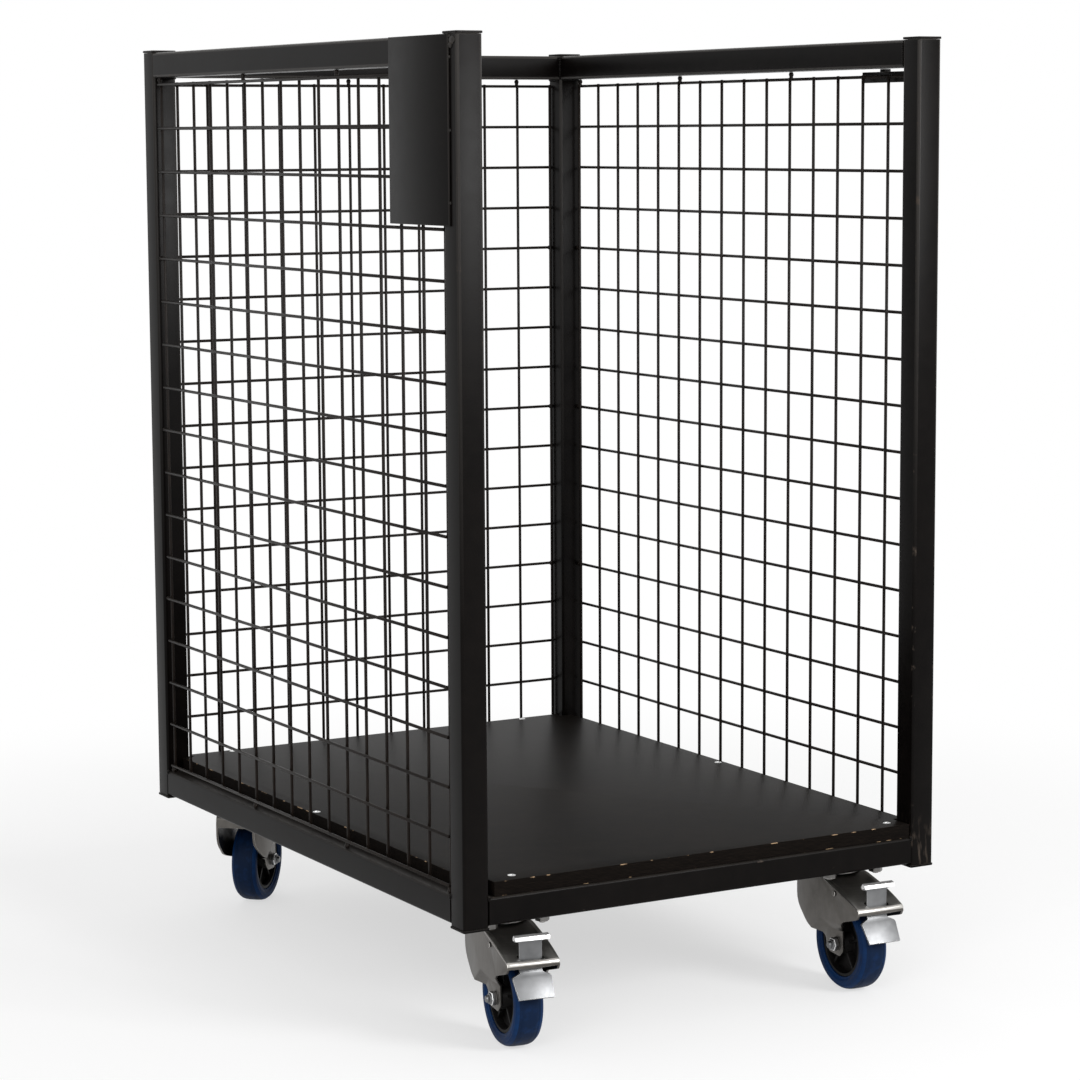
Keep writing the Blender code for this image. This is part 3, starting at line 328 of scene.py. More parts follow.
def powder_coat(name, rub_amount, scuffed=False):
    """Satin powder coat: uneven and grained, with rubbed edges, scratches, dust, scuff marks at the foot, and
    a painted highlight on the corners, paler higher up.
    """
    finish, tree, shader, where = new_finish(name)
    tone = effect(tree, uneven_tone, Vector=where, Scale=9.0)
    edges = effect(tree, edge_wear_and_highlight, Vector=where, Amount=rub_amount)
    scratches = effect(tree, hair_scratches, Vector=where, Scale=7.0, Amount=0.28)
    dust = effect(tree, settled_dust, Vector=where, Amount=0.16)
    worn = combined(tree, "MAXIMUM", edges, combined(tree, "MULTIPLY", scratches, 0.35))
    height = upward_part(tree, where)
    if scuffed:
        near_foot = ranged(tree, height, SCUFF_TOP, SCUFF_FULL)
        strokes = noise(tree, drawn_out(tree, where, (1.0, 1.0, 0.22)), 210.0, 3.0)
        marks = combined(tree, "MULTIPLY", ranged(tree, strokes, 0.52, 0.68), near_foot)
        worn = combined(tree, "MAXIMUM", worn, marks)
    # Painted highlight: the marked corners are made paler, more so the higher they stand.
    highlight_reach = ranged(tree, height, CORNER_HIGHLIGHT_LOW, CORNER_HIGHLIGHT_HIGH, 0.0, CORNER_HIGHLIGHT_SHARE)
    corner_highlight = combined(tree, "MULTIPLY", edge_marks(tree), highlight_reach)
    colour = blended(tree, tone, POWDER_BLACK, POWDER_WARM)
    colour = blended(tree, corner_highlight, colour, CORNER_HIGHLIGHT_COLOUR)
    colour = blended(tree, worn, colour, POWDER_WEAR_AND_HIGHLIGHT)
    colour = blended(tree, dust, colour, DUST_COLOUR)
    gloss = ranged(tree, tone, 0.0, 1.0, 0.29, 0.37)
    gloss = combined(tree, "ADD", gloss, combined(tree, "MULTIPLY", dust, 0.8))
    filled(tree, shader, {"Base Color": colour, "Roughness": gloss, "Specular IOR Level": 0.06})
    bumped(tree, shader, noise(tree, where, 1300.0, 2.0), 0.00002, 0.5)
    return finish


black_coat = powder_coat("black_powder_coat", 0.18)
scuffed_coat = powder_coat("scuffed_powder_coat", 0.30, True)


def new_shape():
    """Empty mesh in the making, whose faces can be marked as edges that get rubbed, or for a painted
    highlight or shade.
    """
    shape = bmesh.new()
    shape.faces.layers.float.new("edge")
    return shape


def softened(shape, edges, radius, segments=2):
    """Round some edges over and mark the new faces as rubbed ones, which on the powder coat also take the
    painted corner highlight.
    """
    edge_mark = shape.faces.layers.float["edge"]
    rounded = bmesh.ops.bevel(
        shape,
        geom=edges,
        offset=radius,
        offset_type="OFFSET",
        segments=segments,
        profile=0.5,
        affect="EDGES",
        clamp_overlap=True,
        material=-1,
    )
    for face in rounded["faces"]:
        face[edge_mark] = 1.0


def block(shape, low, high):
    """Box between two corners; gives its new vertices."""
    low, high = Vector(low), Vector(high)
    size = high - low
    place = Matrix.Translation((low + high) / 2) @ Matrix.Diagonal((*size, 1))
    return bmesh.ops.create_cube(shape, size=1.0, matrix=place)["verts"]


def piece_of(shape, name, body, finish, replaced=(), smooth=35):
    """Finished piece from a shape: shaded, coated, riding on its body and standing for its nodes."""
    mesh = bpy.data.meshes.new(name)
    shape.to_mesh(mesh)
    shape.free()
    mesh.polygons.foreach_set("use_smooth", [True] * len(mesh.polygons))
    mesh.set_sharp_from_angle(angle=math.radians(smooth))
    mesh.materials.append(finish)
    piece = bpy.data.objects.new(name, mesh)
    scene.collection.objects.link(piece)
    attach(piece, body)
    if replaced:
        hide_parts(*replaced)


TUBES = [name for name in nodes if name.startswith(("post_front", "post_rear", "rail_"))]
for name in TUBES:
    low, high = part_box(name)
    span = high - low
    lengthwise = max(range(3), key=lambda axis: span[axis])
    tube = new_shape()
    block(tube, low, high)
    reaches = {e: abs((e.verts[1].co - e.verts[0].co)[lengthwise]) for e in tube.edges}
    softened(tube, [e for e in tube.edges if reaches[e] > span[lengthwise] / 2], TUBE_CORNER, 6)
    if name.startswith("post_"):
        ends = [e for e in tube.edges if abs(e.verts[1].co.z - e.verts[0].co.z) < POST_END]
        softened(tube, [e for e in ends if e.calc_face_angle(0) > 1], POST_END)
    coat = scuffed_coat if name == "post_front_right" else black_coat
    piece_of(tube, f"{name}_coated", "cart", coat, [name])

# Caps
# Small steel plates, a little wider than the tube, tacked on both ends of each post and coated with it.
# Their edges are only just rounded.
CAP_EDGE = 0.0006


def copied(name):
    """A node's own mesh made one surface again, with its flat faces whole."""
    shape = bmesh.new()
    shape.from_mesh(nodes[name].data)
    shape.faces.layers.float.new("edge")
    bmesh.ops.remove_doubles(shape, verts=shape.verts, dist=1e-6)
    bmesh.ops.dissolve_limit(shape, angle_limit=math.radians(0.6), verts=shape.verts, edges=shape.edges)
    return shape


def sharp_edges(shape, least):
    """Edges at which the surface turns by more than an angle in degrees."""
    found = []
    for e in shape.edges:
        if e.is_manifold and e.calc_face_angle(0) > math.radians(least):
            found.append(e)
    return found


for name in [name for name in nodes if name.startswith("post_cap_")]:
    cap = copied(name)
    softened(cap, sharp_edges(cap, 50), CAP_EDGE)
    piece_of(cap, f"{name}_coated", "cart", black_coat, [name])

# Welds
# The rails are welded to the posts along their inner seams. The beads are left as laid, under the
# powder coat: short ripples that lean on one another.
BEAD_HALF = 0.0020
BEAD_STEP = 0.0024
BEAD_SINK = 0.0006
SEAM_REACH = 0.004
LUMP = 0.0022
SEAM_LUMPS = 12
random.seed(7)


def blob(shape, centre, size, subdivisions=1):
    """Small lump with its own size along each axis."""
    place = Matrix.Translation(centre) @ Matrix.Diagonal((*size, 1))
    bmesh.ops.create_icosphere(shape, subdivisions=subdivisions, radius=1.0, matrix=place)


def bead(shape, start, end, half=BEAD_HALF):
    """Row of overlapping weld ripples from one point to another."""
    start, end = Vector(start), Vector(end)
    along = end - start
    count = max(2, round(along.length / BEAD_STEP))
    turn = along.to_track_quat("X", "Z").to_matrix().to_4x4()
    for i in range(count + 1):
        share = i / count
        swell = half * random.uniform(0.88, 1.08)
        size = Matrix.Diagonal((swell * 0.95, swell, swell, 1))
        place = Matrix.Translation(start + along * share) @ turn @ size
        bmesh.ops.create_icosphere(shape, subdivisions=2, radius=1.0, matrix=place)


beads = new_shape()
for name in [name for name in TUBES if name.startswith("rail_")]:
    low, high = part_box(name)
    along = 0 if high.x - low.x > high.y - low.y else 1
    across = 1 - along
    inward = -1 if (low[across] + high[across]) / 2 > 0 else 1
    inner = high[across] if inward > 0 else low[across]
    lower = "bottom" in name
    seam_height = high.z if lower else low.z
    for end_value in (low[along], high[along]):
        near, far = Vector((0, 0, seam_height)), Vector((0, 0, seam_height))
        near[along] = far[along] = end_value
        near[across], far[across] = low[across] + SEAM_REACH, high[across] - SEAM_REACH
        if not lower:
            bead(beads, near, far)
            foot, head = Vector((0, 0, low.z + SEAM_REACH)), Vector((0, 0, high.z - SEAM_REACH))
            foot[along] = head[along] = end_value
            foot[across] = head[across] = inner - inward * BEAD_SINK
            bead(beads, foot, head, BEAD_HALF * 0.8)
            continue
        under_near, under_far = near.copy(), far.copy()
        under_near.z = under_far.z = low.z + BEAD_SINK
        bead(beads, under_near, under_far, BEAD_HALF * 0.8)
        outer = near.copy()
        outer[across] = low[across] + high[across] - inner - math.copysign(LUMP / 2, -inward)
        bead(beads, outer - Vector((0, 0, LUMP)), outer, LUMP)
far_post, far_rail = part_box("post_rear_right"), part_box("rail_top_right")
for i in range(SEAM_LUMPS):
    share = i / (SEAM_LUMPS - 1)
    spot = Vector((far_post[0].x, far_post[0].y, 0)) - Vector((1, 1, 0)) * LUMP * 0.2
    spot.z = far_rail[1].z - LUMP - share * (far_rail[1].z - far_rail[0].z - 2 * LUMP)
    swell = LUMP * (1.7 - 1.1 * share) * random.uniform(0.9, 1.1)
    blob(beads, spot, (swell, swell, LUMP), 2)
piece_of(beads, "frame_welds", "cart", black_coat)

# Wire mesh
# Welded steel mesh with the uprights inside the level wires, coated black together with the frame. The
# coat draws into each crossing, and short rods with a blob of weld hold the border wires on the tubes.
WIRE_RADIUS = 0.0017
WIRE_BITE = 0.0002
WIRE_END = 0.0004
WIRE_SIDES = 12
WIRE_PAST = 0.0021
PITCH_ALONG = 0.0464
PITCH_UP = 0.050
LEAST_MARGIN = 0.0025
LUG_GAP = 0.0003
LUG_RADIUS = 0.0021
LUG_EVERY_ALONG = 5
LUG_EVERY_UP = 4
WIRE_BLACK = (0.0046, 0.0036, 0.0031, 1)
WIRE_WARM = (0.0130, 0.0092, 0.0072, 1)


def wire_coat():
    """Thin glossy coat on wire, brownish where it is thin."""
    finish, tree, shader, where = new_finish("coated_wire")
    tone = effect(tree, uneven_tone, Vector=where, Scale=38.0)
    edges = effect(tree, edge_wear_and_highlight, Vector=where, Amount=0.3)
    colour = blended(tree, edges, blended(tree, tone, WIRE_BLACK, WIRE_WARM), POWDER_WEAR_AND_HIGHLIGHT)
    gloss = ranged(tree, tone, 0.0, 1.0, 0.30, 0.46)
    filled(tree, shader, {"Base Color": colour, "Roughness": gloss, "Specular IOR Level": 0.12})
    bumped(tree, shader, noise(tree, where, 900.0, 2.0), 0.00003, 0.5)
    return finish


wire_black = wire_coat()


def rod(shape, start, end, radius):
    """Straight round rod between two points."""
    start, end = Vector(start), Vector(end)
    along = end - start
    bmesh.ops.create_cone(
        shape,
        cap_ends=True,
        segments=WIRE_SIDES,
        radius1=radius,
        radius2=radius,
        depth=along.length,
        matrix=Matrix.Translation((start + end) / 2) @ along.to_track_quat("Z", "Y").to_matrix().to_4x4(),
    )


def wire_panel(name):
    """One panel: the wires, a blob at each crossing, and the lugs to the tubes round it."""
    low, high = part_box(name)
    middle = (low + high) / 2
    across = 0 if high.x - low.x < high.y - low.y else 1
    along = 1 - across
    outward = 1 if middle[across] > 0 else -1
    opening = high - low
    cells_along = int((opening[along] + 2 * LUG_GAP - 2 * LEAST_MARGIN) / PITCH_ALONG)
    cells_up = int((opening.z + 2 * LUG_GAP - 2 * LEAST_MARGIN) / PITCH_UP)
    half_along = cells_along * PITCH_ALONG / 2
    half_up = cells_up * PITCH_UP / 2
    outer_face = high[across] if outward > 0 else low[across]
    level_depth = outer_face - outward * WIRE_RADIUS
    upright_depth = level_depth - outward * (2 * WIRE_RADIUS - WIRE_BITE)

    def point(u, z, depth):
        """Point of this panel by its place along and up from the middle."""
        found = Vector((0, 0, middle.z + z))
        found[along] = middle[along] + u
        found[across] = depth
        return found

    columns = [-half_along + PITCH_ALONG * i for i in range(cells_along + 1)]
    rows = [-half_up + PITCH_UP * i for i in range(cells_up + 1)]
    wires = new_shape()
    top_reach = half_up + WIRE_PAST
    for u in columns:
        rod(wires, point(u, -top_reach, upright_depth), point(u, top_reach, upright_depth), WIRE_RADIUS)
    side_reach = half_along + WIRE_PAST
    for z in rows:
        rod(wires, point(-side_reach, z, level_depth), point(side_reach, z, level_depth), WIRE_RADIUS)
    softened(wires, [e for e in wires.edges if e.calc_face_angle(0) > math.radians(60)], WIRE_END, 1)
    crossing_depth = (level_depth + upright_depth) / 2
    crossing_size = Vector((WIRE_RADIUS * 1.25,) * 3)
    crossing_size[across] = WIRE_RADIUS * 0.95
    for u in columns:
        for z in rows:
            blob(wires, point(u, z, crossing_depth), crossing_size)
    lug_size = Vector((LUG_RADIUS * 1.35,) * 3)
    for way in (-1, 1):
        for u in columns[::LUG_EVERY_ALONG]:
            root = point(u, way * half_up, crossing_depth)
            tip = point(u, way * (opening.z / 2), crossing_depth)
            rod(wires, root, tip, LUG_RADIUS)
            blob(wires, tip - Vector((0, 0, way * LUG_RADIUS * 1.2)), lug_size, 2)
        for z in rows[LUG_EVERY_UP:-1:LUG_EVERY_UP]:
            root = point(way * half_along, z, crossing_depth)
            tip = point(way * opening[along] / 2, z, crossing_depth)
            rod(wires, root, tip, LUG_RADIUS)
            pulled = point(way * (opening[along] / 2 - LUG_RADIUS * 1.2), z, crossing_depth)
            blob(wires, pulled, lug_size, 2)
    piece_of(wires, f"{name}_wires", "cart", wire_black, [name], 50)


for name in ("mesh_panel_left", "mesh_panel_right", "mesh_panel_rear"):
    wire_panel(name)

# Side plate
# Bare steel plate on the outside of the left front corner, tacked to the post and the rail and coated
# with them.
PLATE_EDGE = 0.0005
TACK = 0.0022
TACK_SINK = 0.0002
CORNER_TACKS = (
    (0.0012, 0.0020, (0.0015, 0.0016, 0.0018)),
    (0.0055, 0.0060, (0.0018, 0.0060, 0.0040)),
    (0.0025, 0.0105, (0.0018, 0.0030, 0.0035)),
)


def marked(shape, chosen, amount=1.0):
    """Mark the faces that a test chooses, as rubbed ones or for a painted highlight or shade."""
    edge_mark = shape.faces.layers.float["edge"]
    for face in shape.faces:
        if chosen(face):
            face[edge_mark] = amount


low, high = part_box("side_plate")
plate = new_shape()
block(plate, low, high)
softened(plate, list(plate.edges), PLATE_EDGE)
plate.normal_update()
# The plate's thin edge faces are marked as well, so that they show paler: a painted highlight along the edge.
marked(plate, lambda face: abs(face.normal.x) < 0.5)
piece_of(plate, "side_plate_coated", "cart", black_coat, ["side_plate"])

tacks = new_shape()
tack_size = Vector((TACK * 0.7, TACK * 1.5, TACK * 0.8))
for share in (0.12, 0.5, 0.88):
    blob(tacks, (high.x, low.y + TACK / 2, low.z + share * (high.z - low.z)), tack_size, 2)
for share in (0.35, 0.9):
    blob(tacks, (high.x, low.y + share * (high.y - low.y), high.z - TACK), tack_size, 2)
posts = {name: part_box(name) for name in TUBES if name.startswith("post_")}
post_face = posts["post_front_left"][0].x
for ahead, drop, size in CORNER_TACKS:
    blob(tacks, (post_face - TACK_SINK, low.y - ahead, high.z - drop), size, 2)
# Every face of the tacks is marked, so that they take the paler edge colours: a painted highlight on the
# tacks.
marked(tacks, lambda face: True)
piece_of(tacks, "side_plate_tacks", "cart", black_coat)

# Hanging strip
# Flat steel bar outside the right mesh near the front, on two tabs that are welded under the top rail. It
# is coated black with the frame.
STRIP_EDGE = 0.0004
strip = copied("hanging_strip")
softened(strip, sharp_edges(strip, 50), STRIP_EDGE)
piece_of(strip, "hanging_strip_coated", "cart", black_coat, ["hanging_strip"])

# Deck board
# Film-faced plywood, black on both faces, cut round the posts and laid on the bottom rails. The sawn edges
# are painted, but the plies still show, and the film is chipped pale along them.
BOARD_EDGE = 0.0007
PLY = 0.0014
FILM_DARK = (0.0040, 0.0034, 0.0031, 1)
FILM_WARM = (0.0085, 0.0067, 0.0055, 1)
EDGE_DARK = (0.0032, 0.0026, 0.0023, 1)
EDGE_LIGHT = (0.0110, 0.0080, 0.0062, 1)
BARE_WOOD = (0.3300, 0.2250, 0.1350, 1)


def changed(tree, operation, value):
    """One value changed by an operation that takes no second."""
    return put(tree, "ShaderNodeMath", {0: value}, operation=operation).outputs[0]


def board_finish():
    """Scratched dark film on the faces, painted plies on the edges, and chips at the corners."""
    finish, tree, shader, where = new_finish("film_faced_board")
    facing = put(tree, "ShaderNodeNewGeometry").outputs["Normal"]
    on_face = ranged(tree, changed(tree, "ABSOLUTE", upward_part(tree, facing)), 0.75, 0.95)
    tone = effect(tree, uneven_tone, Vector=where, Scale=6.0)
    scratches = effect(tree, hair_scratches, Vector=where, Scale=5.0, Amount=0.38)
    face_colour = blended(tree, tone, FILM_DARK, FILM_WARM)
    face_colour = blended(tree, combined(tree, "MULTIPLY", scratches, 0.4), face_colour, POWDER_WEAR_AND_HIGHLIGHT)
    wobble = combined(tree, "MULTIPLY", noise(tree, where, 22.0, 3.0), PLY * 0.5)
    shifted = combined(tree, "ADD", upward_part(tree, where), wobble)
    ply = changed(tree, "FRACT", combined(tree, "DIVIDE", shifted, PLY))
    band = ranged(tree, changed(tree, "ABSOLUTE", combined(tree, "SUBTRACT", ply, 0.5)), 0.20, 0.30)
    fibre = noise(tree, drawn_out(tree, where, (1.0, 1.0, 30.0)), 60.0, 4.0)
    banded = combined(tree, "MULTIPLY", band, ranged(tree, fibre, 0.35, 0.7))
    colour = blended(tree, on_face, blended(tree, banded, EDGE_DARK, EDGE_LIGHT), face_colour)
    chipped = ranged(tree, noise(tree, where, 55.0, 8.0), 0.58, 0.62)
    chips = combined(tree, "MULTIPLY", chipped, edge_marks(tree))
    colour = blended(tree, chips, colour, BARE_WOOD)
    gloss = ranged(tree, on_face, 0.0, 1.0, 0.75, 0.42)
    gloss = combined(tree, "ADD", gloss, combined(tree, "MULTIPLY", scratches, 0.2))
    filled(tree, shader, {"Base Color": colour, "Roughness": gloss, "Specular IOR Level": 0.02})
    relief = combined(tree, "ADD", fibre, combined(tree, "MULTIPLY", chips, -2.0))
    bumped(tree, shader, relief, 0.00012, 0.6)
    return finish


board = copied("deck_board")
softened(board, sharp_edges(board, 50), BOARD_EDGE)
piece_of(board, "deck_board_faced", "cart", board_finish(), ["deck_board"])

# Deck screws
# Zinc-plated countersunk screws hold the board on the rails, one near each corner and one halfway along
# each side rail. Their heads lie a hair above the film.
BRIGHT_DARK = (0.130, 0.132, 0.135, 1)
BRIGHT_LIGHT = (0.200, 0.203, 0.207, 1)
BRIGHT_RUBBED = (0.800, 0.800, 0.795, 1)
OILY_DARK = (0.040, 0.036, 0.032, 1)
SCREW_RADIUS = 0.0042
SCREW_PROUD = 0.0004
SCREW_SOCKET = 0.0016
SCREW_FROM_POST = 0.050
SCREW_BEHIND_POST = 0.004
SCREW_FROM_EDGE = SCREW_RADIUS * 1.6


def plated(name, dark, light, rubbed, rough_low, rough_high, grime):
    """Zinc plate on steel: cloudy tone, drawn streaks, brighter edges and some grime."""
    finish, tree, shader, where = new_finish(name)
    tone = effect(tree, uneven_tone, Vector=where, Scale=14.0)
    edges = effect(tree, edge_wear_and_highlight, Vector=where, Amount=1.0)
    scratches = effect(tree, hair_scratches, Vector=where, Scale=30.0, Amount=0.30)
    streaks = noise(tree, drawn_out(tree, where, (1.0, 1.0, 0.06)), 500.0, 2.0)
    soiled = combined(tree, "MULTIPLY", ranged(tree, noise(tree, where, 24.0, 6.0), 0.55, 0.75), grime)
    colour = blended(tree, tone, dark, light)
    colour = blended(tree, combined(tree, "MULTIPLY", scratches, 0.12), colour, rubbed)
    colour = blended(tree, soiled, colour, OILY_DARK)
    colour = blended(tree, edges, colour, rubbed)
    spread = combined(tree, "MULTIPLY", combined(tree, "ADD", tone, streaks), 0.5)
    gloss = ranged(tree, spread, 0.25, 0.75, rough_low, rough_high)
    filled(tree, shader, {"Base Color": colour, "Roughness": gloss, "Metallic": 1.0})
    bumped(tree, shader, streaks, 0.00002, 0.25)
    return finish


bright_zinc = plated("bright_zinc", BRIGHT_DARK, BRIGHT_LIGHT, BRIGHT_RUBBED, 0.34, 0.46, 0.04)


def turned_shape(shape, section, steps, closed):
    """Surface of revolution about Z from (radius, height) points; gives its vertices."""
    points = [shape.verts.new((radius, 0, height)) for radius, height in section]
    lines = [shape.edges.new(pair) for pair in zip(points, points[1:])]
    if closed:
        lines.append(shape.edges.new((points[-1], points[0])))
    before = set(shape.verts) - set(points)
    bmesh.ops.spin(
        shape,
        geom=points + lines,
        cent=(0, 0, 0),
        axis=(0, 0, 1),
        angle=2 * math.pi,
        steps=steps,
        use_merge=True,
    )
    made = [v for v in shape.verts if v not in before]
    bmesh.ops.remove_doubles(shape, verts=made, dist=1e-7)
    made = [v for v in shape.verts if v not in before]
    faces = {face for v in made for face in v.link_faces}
    bmesh.ops.recalc_face_normals(shape, faces=list(faces))
    return made


board_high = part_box("deck_board")[1]
post_low, post_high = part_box("post_front_left")
screw_x = -(post_low.x + post_high.x) / 2 - SCREW_FROM_POST
screw_y = -(post_low.y + post_high.y) / 2 - SCREW_BEHIND_POST
side_x = board_high.x - SCREW_FROM_EDGE
screw_places = [(-screw_x, -screw_y), (screw_x + SCREW_FROM_POST / 3, -screw_y)]
screw_places += [(side * side_x, 0) for side in (-1, 1)]
screw_places += [(side * screw_x * 0.9, board_high.y - SCREW_FROM_EDGE) for side in (-1, 1)]
screw_head = [
    (0, -SCREW_SOCKET),
    (SCREW_SOCKET * 0.7, -SCREW_SOCKET),
    (SCREW_SOCKET, 0),
    (SCREW_SOCKET * 1.1, SCREW_PROUD),
    (SCREW_RADIUS * 0.8, SCREW_PROUD),
    (SCREW_RADIUS, 0),
    (SCREW_RADIUS * 0.5, -SCREW_RADIUS * 0.6),
    (0, -SCREW_RADIUS * 0.6),
]
screws = new_shape()
for x, y in screw_places:
    bmesh.ops.translate(screws, vec=(x, y, 0), verts=turned_shape(screws, screw_head, 24, False))
marked(screws, lambda face: True, 0.8)
piece_of(screws, "deck_screws", "cart", bright_zinc)

# Pads and top plates
# Each caster hangs on a coated pad by four bolts through its plated top plate, with the nuts below. The
# plate carries the pressed outer ring of the swivel bearing.
CORNERS = ("front_left", "front_right", "rear_left", "rear_right")
DULL_DARK = (0.170, 0.165, 0.160, 1)
DULL_LIGHT = (0.300, 0.292, 0.284, 1)
DULL_WEAR_AND_HIGHLIGHT = (0.450, 0.440, 0.430, 1)
SHEET_EDGE = 0.0005
POST_PAST_FRAME = 0.0015
SEAT = 0.0003
PLATE_CORNER = 0.008
PLATE_THICK = 0.003
PAD_ABOVE_PLATE = 0.0056
BOLT_RADIUS = 0.004
BOLT_ACROSS = 0.013
BOLT_X = 0.030
BOLT_Y = 0.0375
HEAD_HIGH = 0.0053
NUT_HIGH = 0.0105
PAST_NUT = 0.0015
HEX_CHAMFER = 0.0007
WASHER_RADIUS = 0.0078
WASHER_THICK = 0.0010
THREAD_PITCH = 0.00125
THREAD_PLAY = 0.0001
RACE_RADIUS = 0.0305
RACE_DEPTH = 0.0104
RACE_BORE = 0.0068
RACE_HIGHLIGHT_BAND = 0.0030

race_zinc = plated("dull_zinc", DULL_DARK, DULL_LIGHT, DULL_WEAR_AND_HIGHLIGHT, 0.42, 0.60, 0.7)


def hexagon_prism(shape, low, high):
    """Bolt head or nut about Z with its corners taken off at both ends; gives its vertices."""
    made = bmesh.ops.create_cone(
        shape,
        cap_ends=True,
        segments=6,
        radius1=BOLT_ACROSS / math.sqrt(3),
        radius2=BOLT_ACROSS / math.sqrt(3),
        depth=high - low,
        matrix=Matrix.Translation((0, 0, (low + high) / 2)),
    )["verts"]
    before = set(shape.verts) - set(made)
    rims = {e for v in made for e in v.link_edges if abs(e.verts[0].co.z - e.verts[1].co.z) < 1e-7}
    softened(shape, list(rims), HEX_CHAMFER)
    return [v for v in shape.verts if v not in before]


def thread_section(radius, start, end):
    """Half profile of a thread from one depth down to another, closed on the axis at its tip."""
    section = [(radius, -start)]
    depth = start
    while depth + THREAD_PITCH < end - THREAD_PITCH / 2:
        for share, cut in ((0.1, 0), (0.5, 0.45), (0.9, 0)):
            section.append((radius - THREAD_PITCH * cut, -(depth + THREAD_PITCH * share)))
        depth += THREAD_PITCH
    return section + [(radius - THREAD_PITCH * 0.6, -end), (0, -end)]


def top_plate(corner, pivot, at):
    """Top plate about the swivel axis, with its rounded corners and the ring pressed down from it, whose
    lower rim is marked for a painted highlight.
    """
    low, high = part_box(f"caster_plate_{corner}")
    plate = new_shape()
    block(plate, (low.x - pivot.x, low.y - pivot.y, -PLATE_THICK), (high.x - pivot.x, high.y - pivot.y, 0))
    upright = [e for e in plate.edges if abs(e.verts[0].co.z - e.verts[1].co.z) > PLATE_THICK / 2]
    softened(plate, upright, PLATE_CORNER, 6)
    softened(plate, sharp_edges(plate, 60), SHEET_EDGE)
    race_low = -PLATE_THICK - RACE_DEPTH
    race = [
        (RACE_RADIUS + 0.0022, -PLATE_THICK),
        (RACE_RADIUS + 0.0004, -PLATE_THICK - 0.0016),
        (RACE_RADIUS, -PLATE_THICK - 0.0035),
        (RACE_RADIUS, race_low + 0.0046),
        (RACE_RADIUS - 0.0008, race_low + 0.0040),
        (RACE_RADIUS - 0.0008, race_low + 0.0034),
        (RACE_RADIUS - 0.0001, race_low + 0.0028),
        (RACE_RADIUS - 0.0002, race_low + 0.0010),
        (RACE_RADIUS - 0.0012, race_low + 0.0002),
        (RACE_RADIUS - 0.0030, race_low),
        (RACE_BORE, race_low),
        (RACE_BORE, -PLATE_THICK / 2),
        (RACE_RADIUS - 0.0030, -PLATE_THICK / 2),
    ]
    turned_shape(plate, race, 64, True)
    # Painted highlight: the ring's lower rim is marked so that it shows as a pale line.
    marked(plate, lambda face: face.calc_center_median().z < race_low + RACE_HIGHLIGHT_BAND, 0.9)
    bmesh.ops.transform(plate, matrix=at, verts=plate.verts)
    piece_of(plate, f"caster_plate_{corner}_plated", "cart", race_zinc, [f"caster_plate_{corner}"])


def plate_bolts(corner, at):
    """Four bolts through pad and top plate, each with its washer and nut below."""
    nut_low = -PLATE_THICK - NUT_HIGH
    washer = [
        (BOLT_RADIUS, -PLATE_THICK),
        (WASHER_RADIUS, -PLATE_THICK),
        (WASHER_RADIUS, -PLATE_THICK - WASHER_THICK),
        (BOLT_RADIUS, -PLATE_THICK - WASHER_THICK),
    ]
    shank = [(BOLT_RADIUS, PAD_ABOVE_PLATE)] + thread_section(BOLT_RADIUS - THREAD_PLAY, 0.0, -nut_low)
    bolts = new_shape()
    for x in (-BOLT_X, BOLT_X):
        for y in (-BOLT_Y, BOLT_Y):
            turn = Matrix.Rotation(random.uniform(0, math.pi / 3), 4, "Z")
            bolt = hexagon_prism(bolts, PAD_ABOVE_PLATE, PAD_ABOVE_PLATE + HEAD_HIGH)
            bolt += hexagon_prism(bolts, nut_low + PAST_NUT, -PLATE_THICK - WASHER_THICK)
            bolt += turned_shape(bolts, washer, 32, True)
            bolt += turned_shape(bolts, shank, 24, False)
            bmesh.ops.transform(bolts, matrix=at @ Matrix.Translation((x, y, 0)) @ turn, verts=bolt)
    piece_of(bolts, f"caster_bolts_{corner}", "cart", race_zinc)


for corner in CORNERS:
    pad = copied(f"caster_pad_{corner}")
    softened(pad, sharp_edges(pad, 50), SHEET_EDGE)
    piece_of(pad, f"caster_pad_{corner}_coated", "cart", black_coat, [f"caster_pad_{corner}"])
    pivot = Vector(joints[f"swivel_{corner}"]["pos_m"])
    plate_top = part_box(f"post_{corner}")[0].z + POST_PAST_FRAME - SEAT
    at = Matrix.Translation((pivot.x, pivot.y, plate_top))
    top_plate(corner, pivot, at)
    plate_bolts(corner, at)

# Forks and their pins
# The fork is pressed from one sheet: a hood that sinks in the middle and falls away to the rear lip, and legs
# that bend in to the hub. A painted highlight on the hood grows paler towards the lip and runs along its side
# ridges. A king pin holds it under the plate.
STEEL_DARK = (0.080, 0.074, 0.067, 1)
STEEL_LIGHT = (0.150, 0.141, 0.131, 1)
STEEL_WEAR_AND_HIGHLIGHT = (0.500, 0.485, 0.460, 1)
PRESSED_EDGE = 0.0007
HOOD_BEND_START = 0.042
HOOD_BEND_FALL = 0.0060
HOOD_REACH = 0.097
HOOD_LOW = 0.026
HOOD_HALF = 0.0285
HOOD_TROUGH = 0.0020
TROUGH_START = 0.028
TROUGH_RAMP = 0.022
TROUGH_END_RAMP = 0.012
HOOD_HIGHLIGHT = 0.85
RIDGE_HIGHLIGHT = 0.45
HOOD_CUT_REACHES = (0.034, 0.040, 0.046, 0.052, 0.058, 0.063, 0.068, 0.073, 0.0775, 0.0810, 0.0935)
HOOD_CUT_SIDES = (-0.82, -0.62, -0.35, 0, 0.35, 0.62, 0.82)
PIN_HEAD_RADIUS = 0.0110
PIN_HEAD_HIGH = 0.006
PIN_RADIUS = 0.006
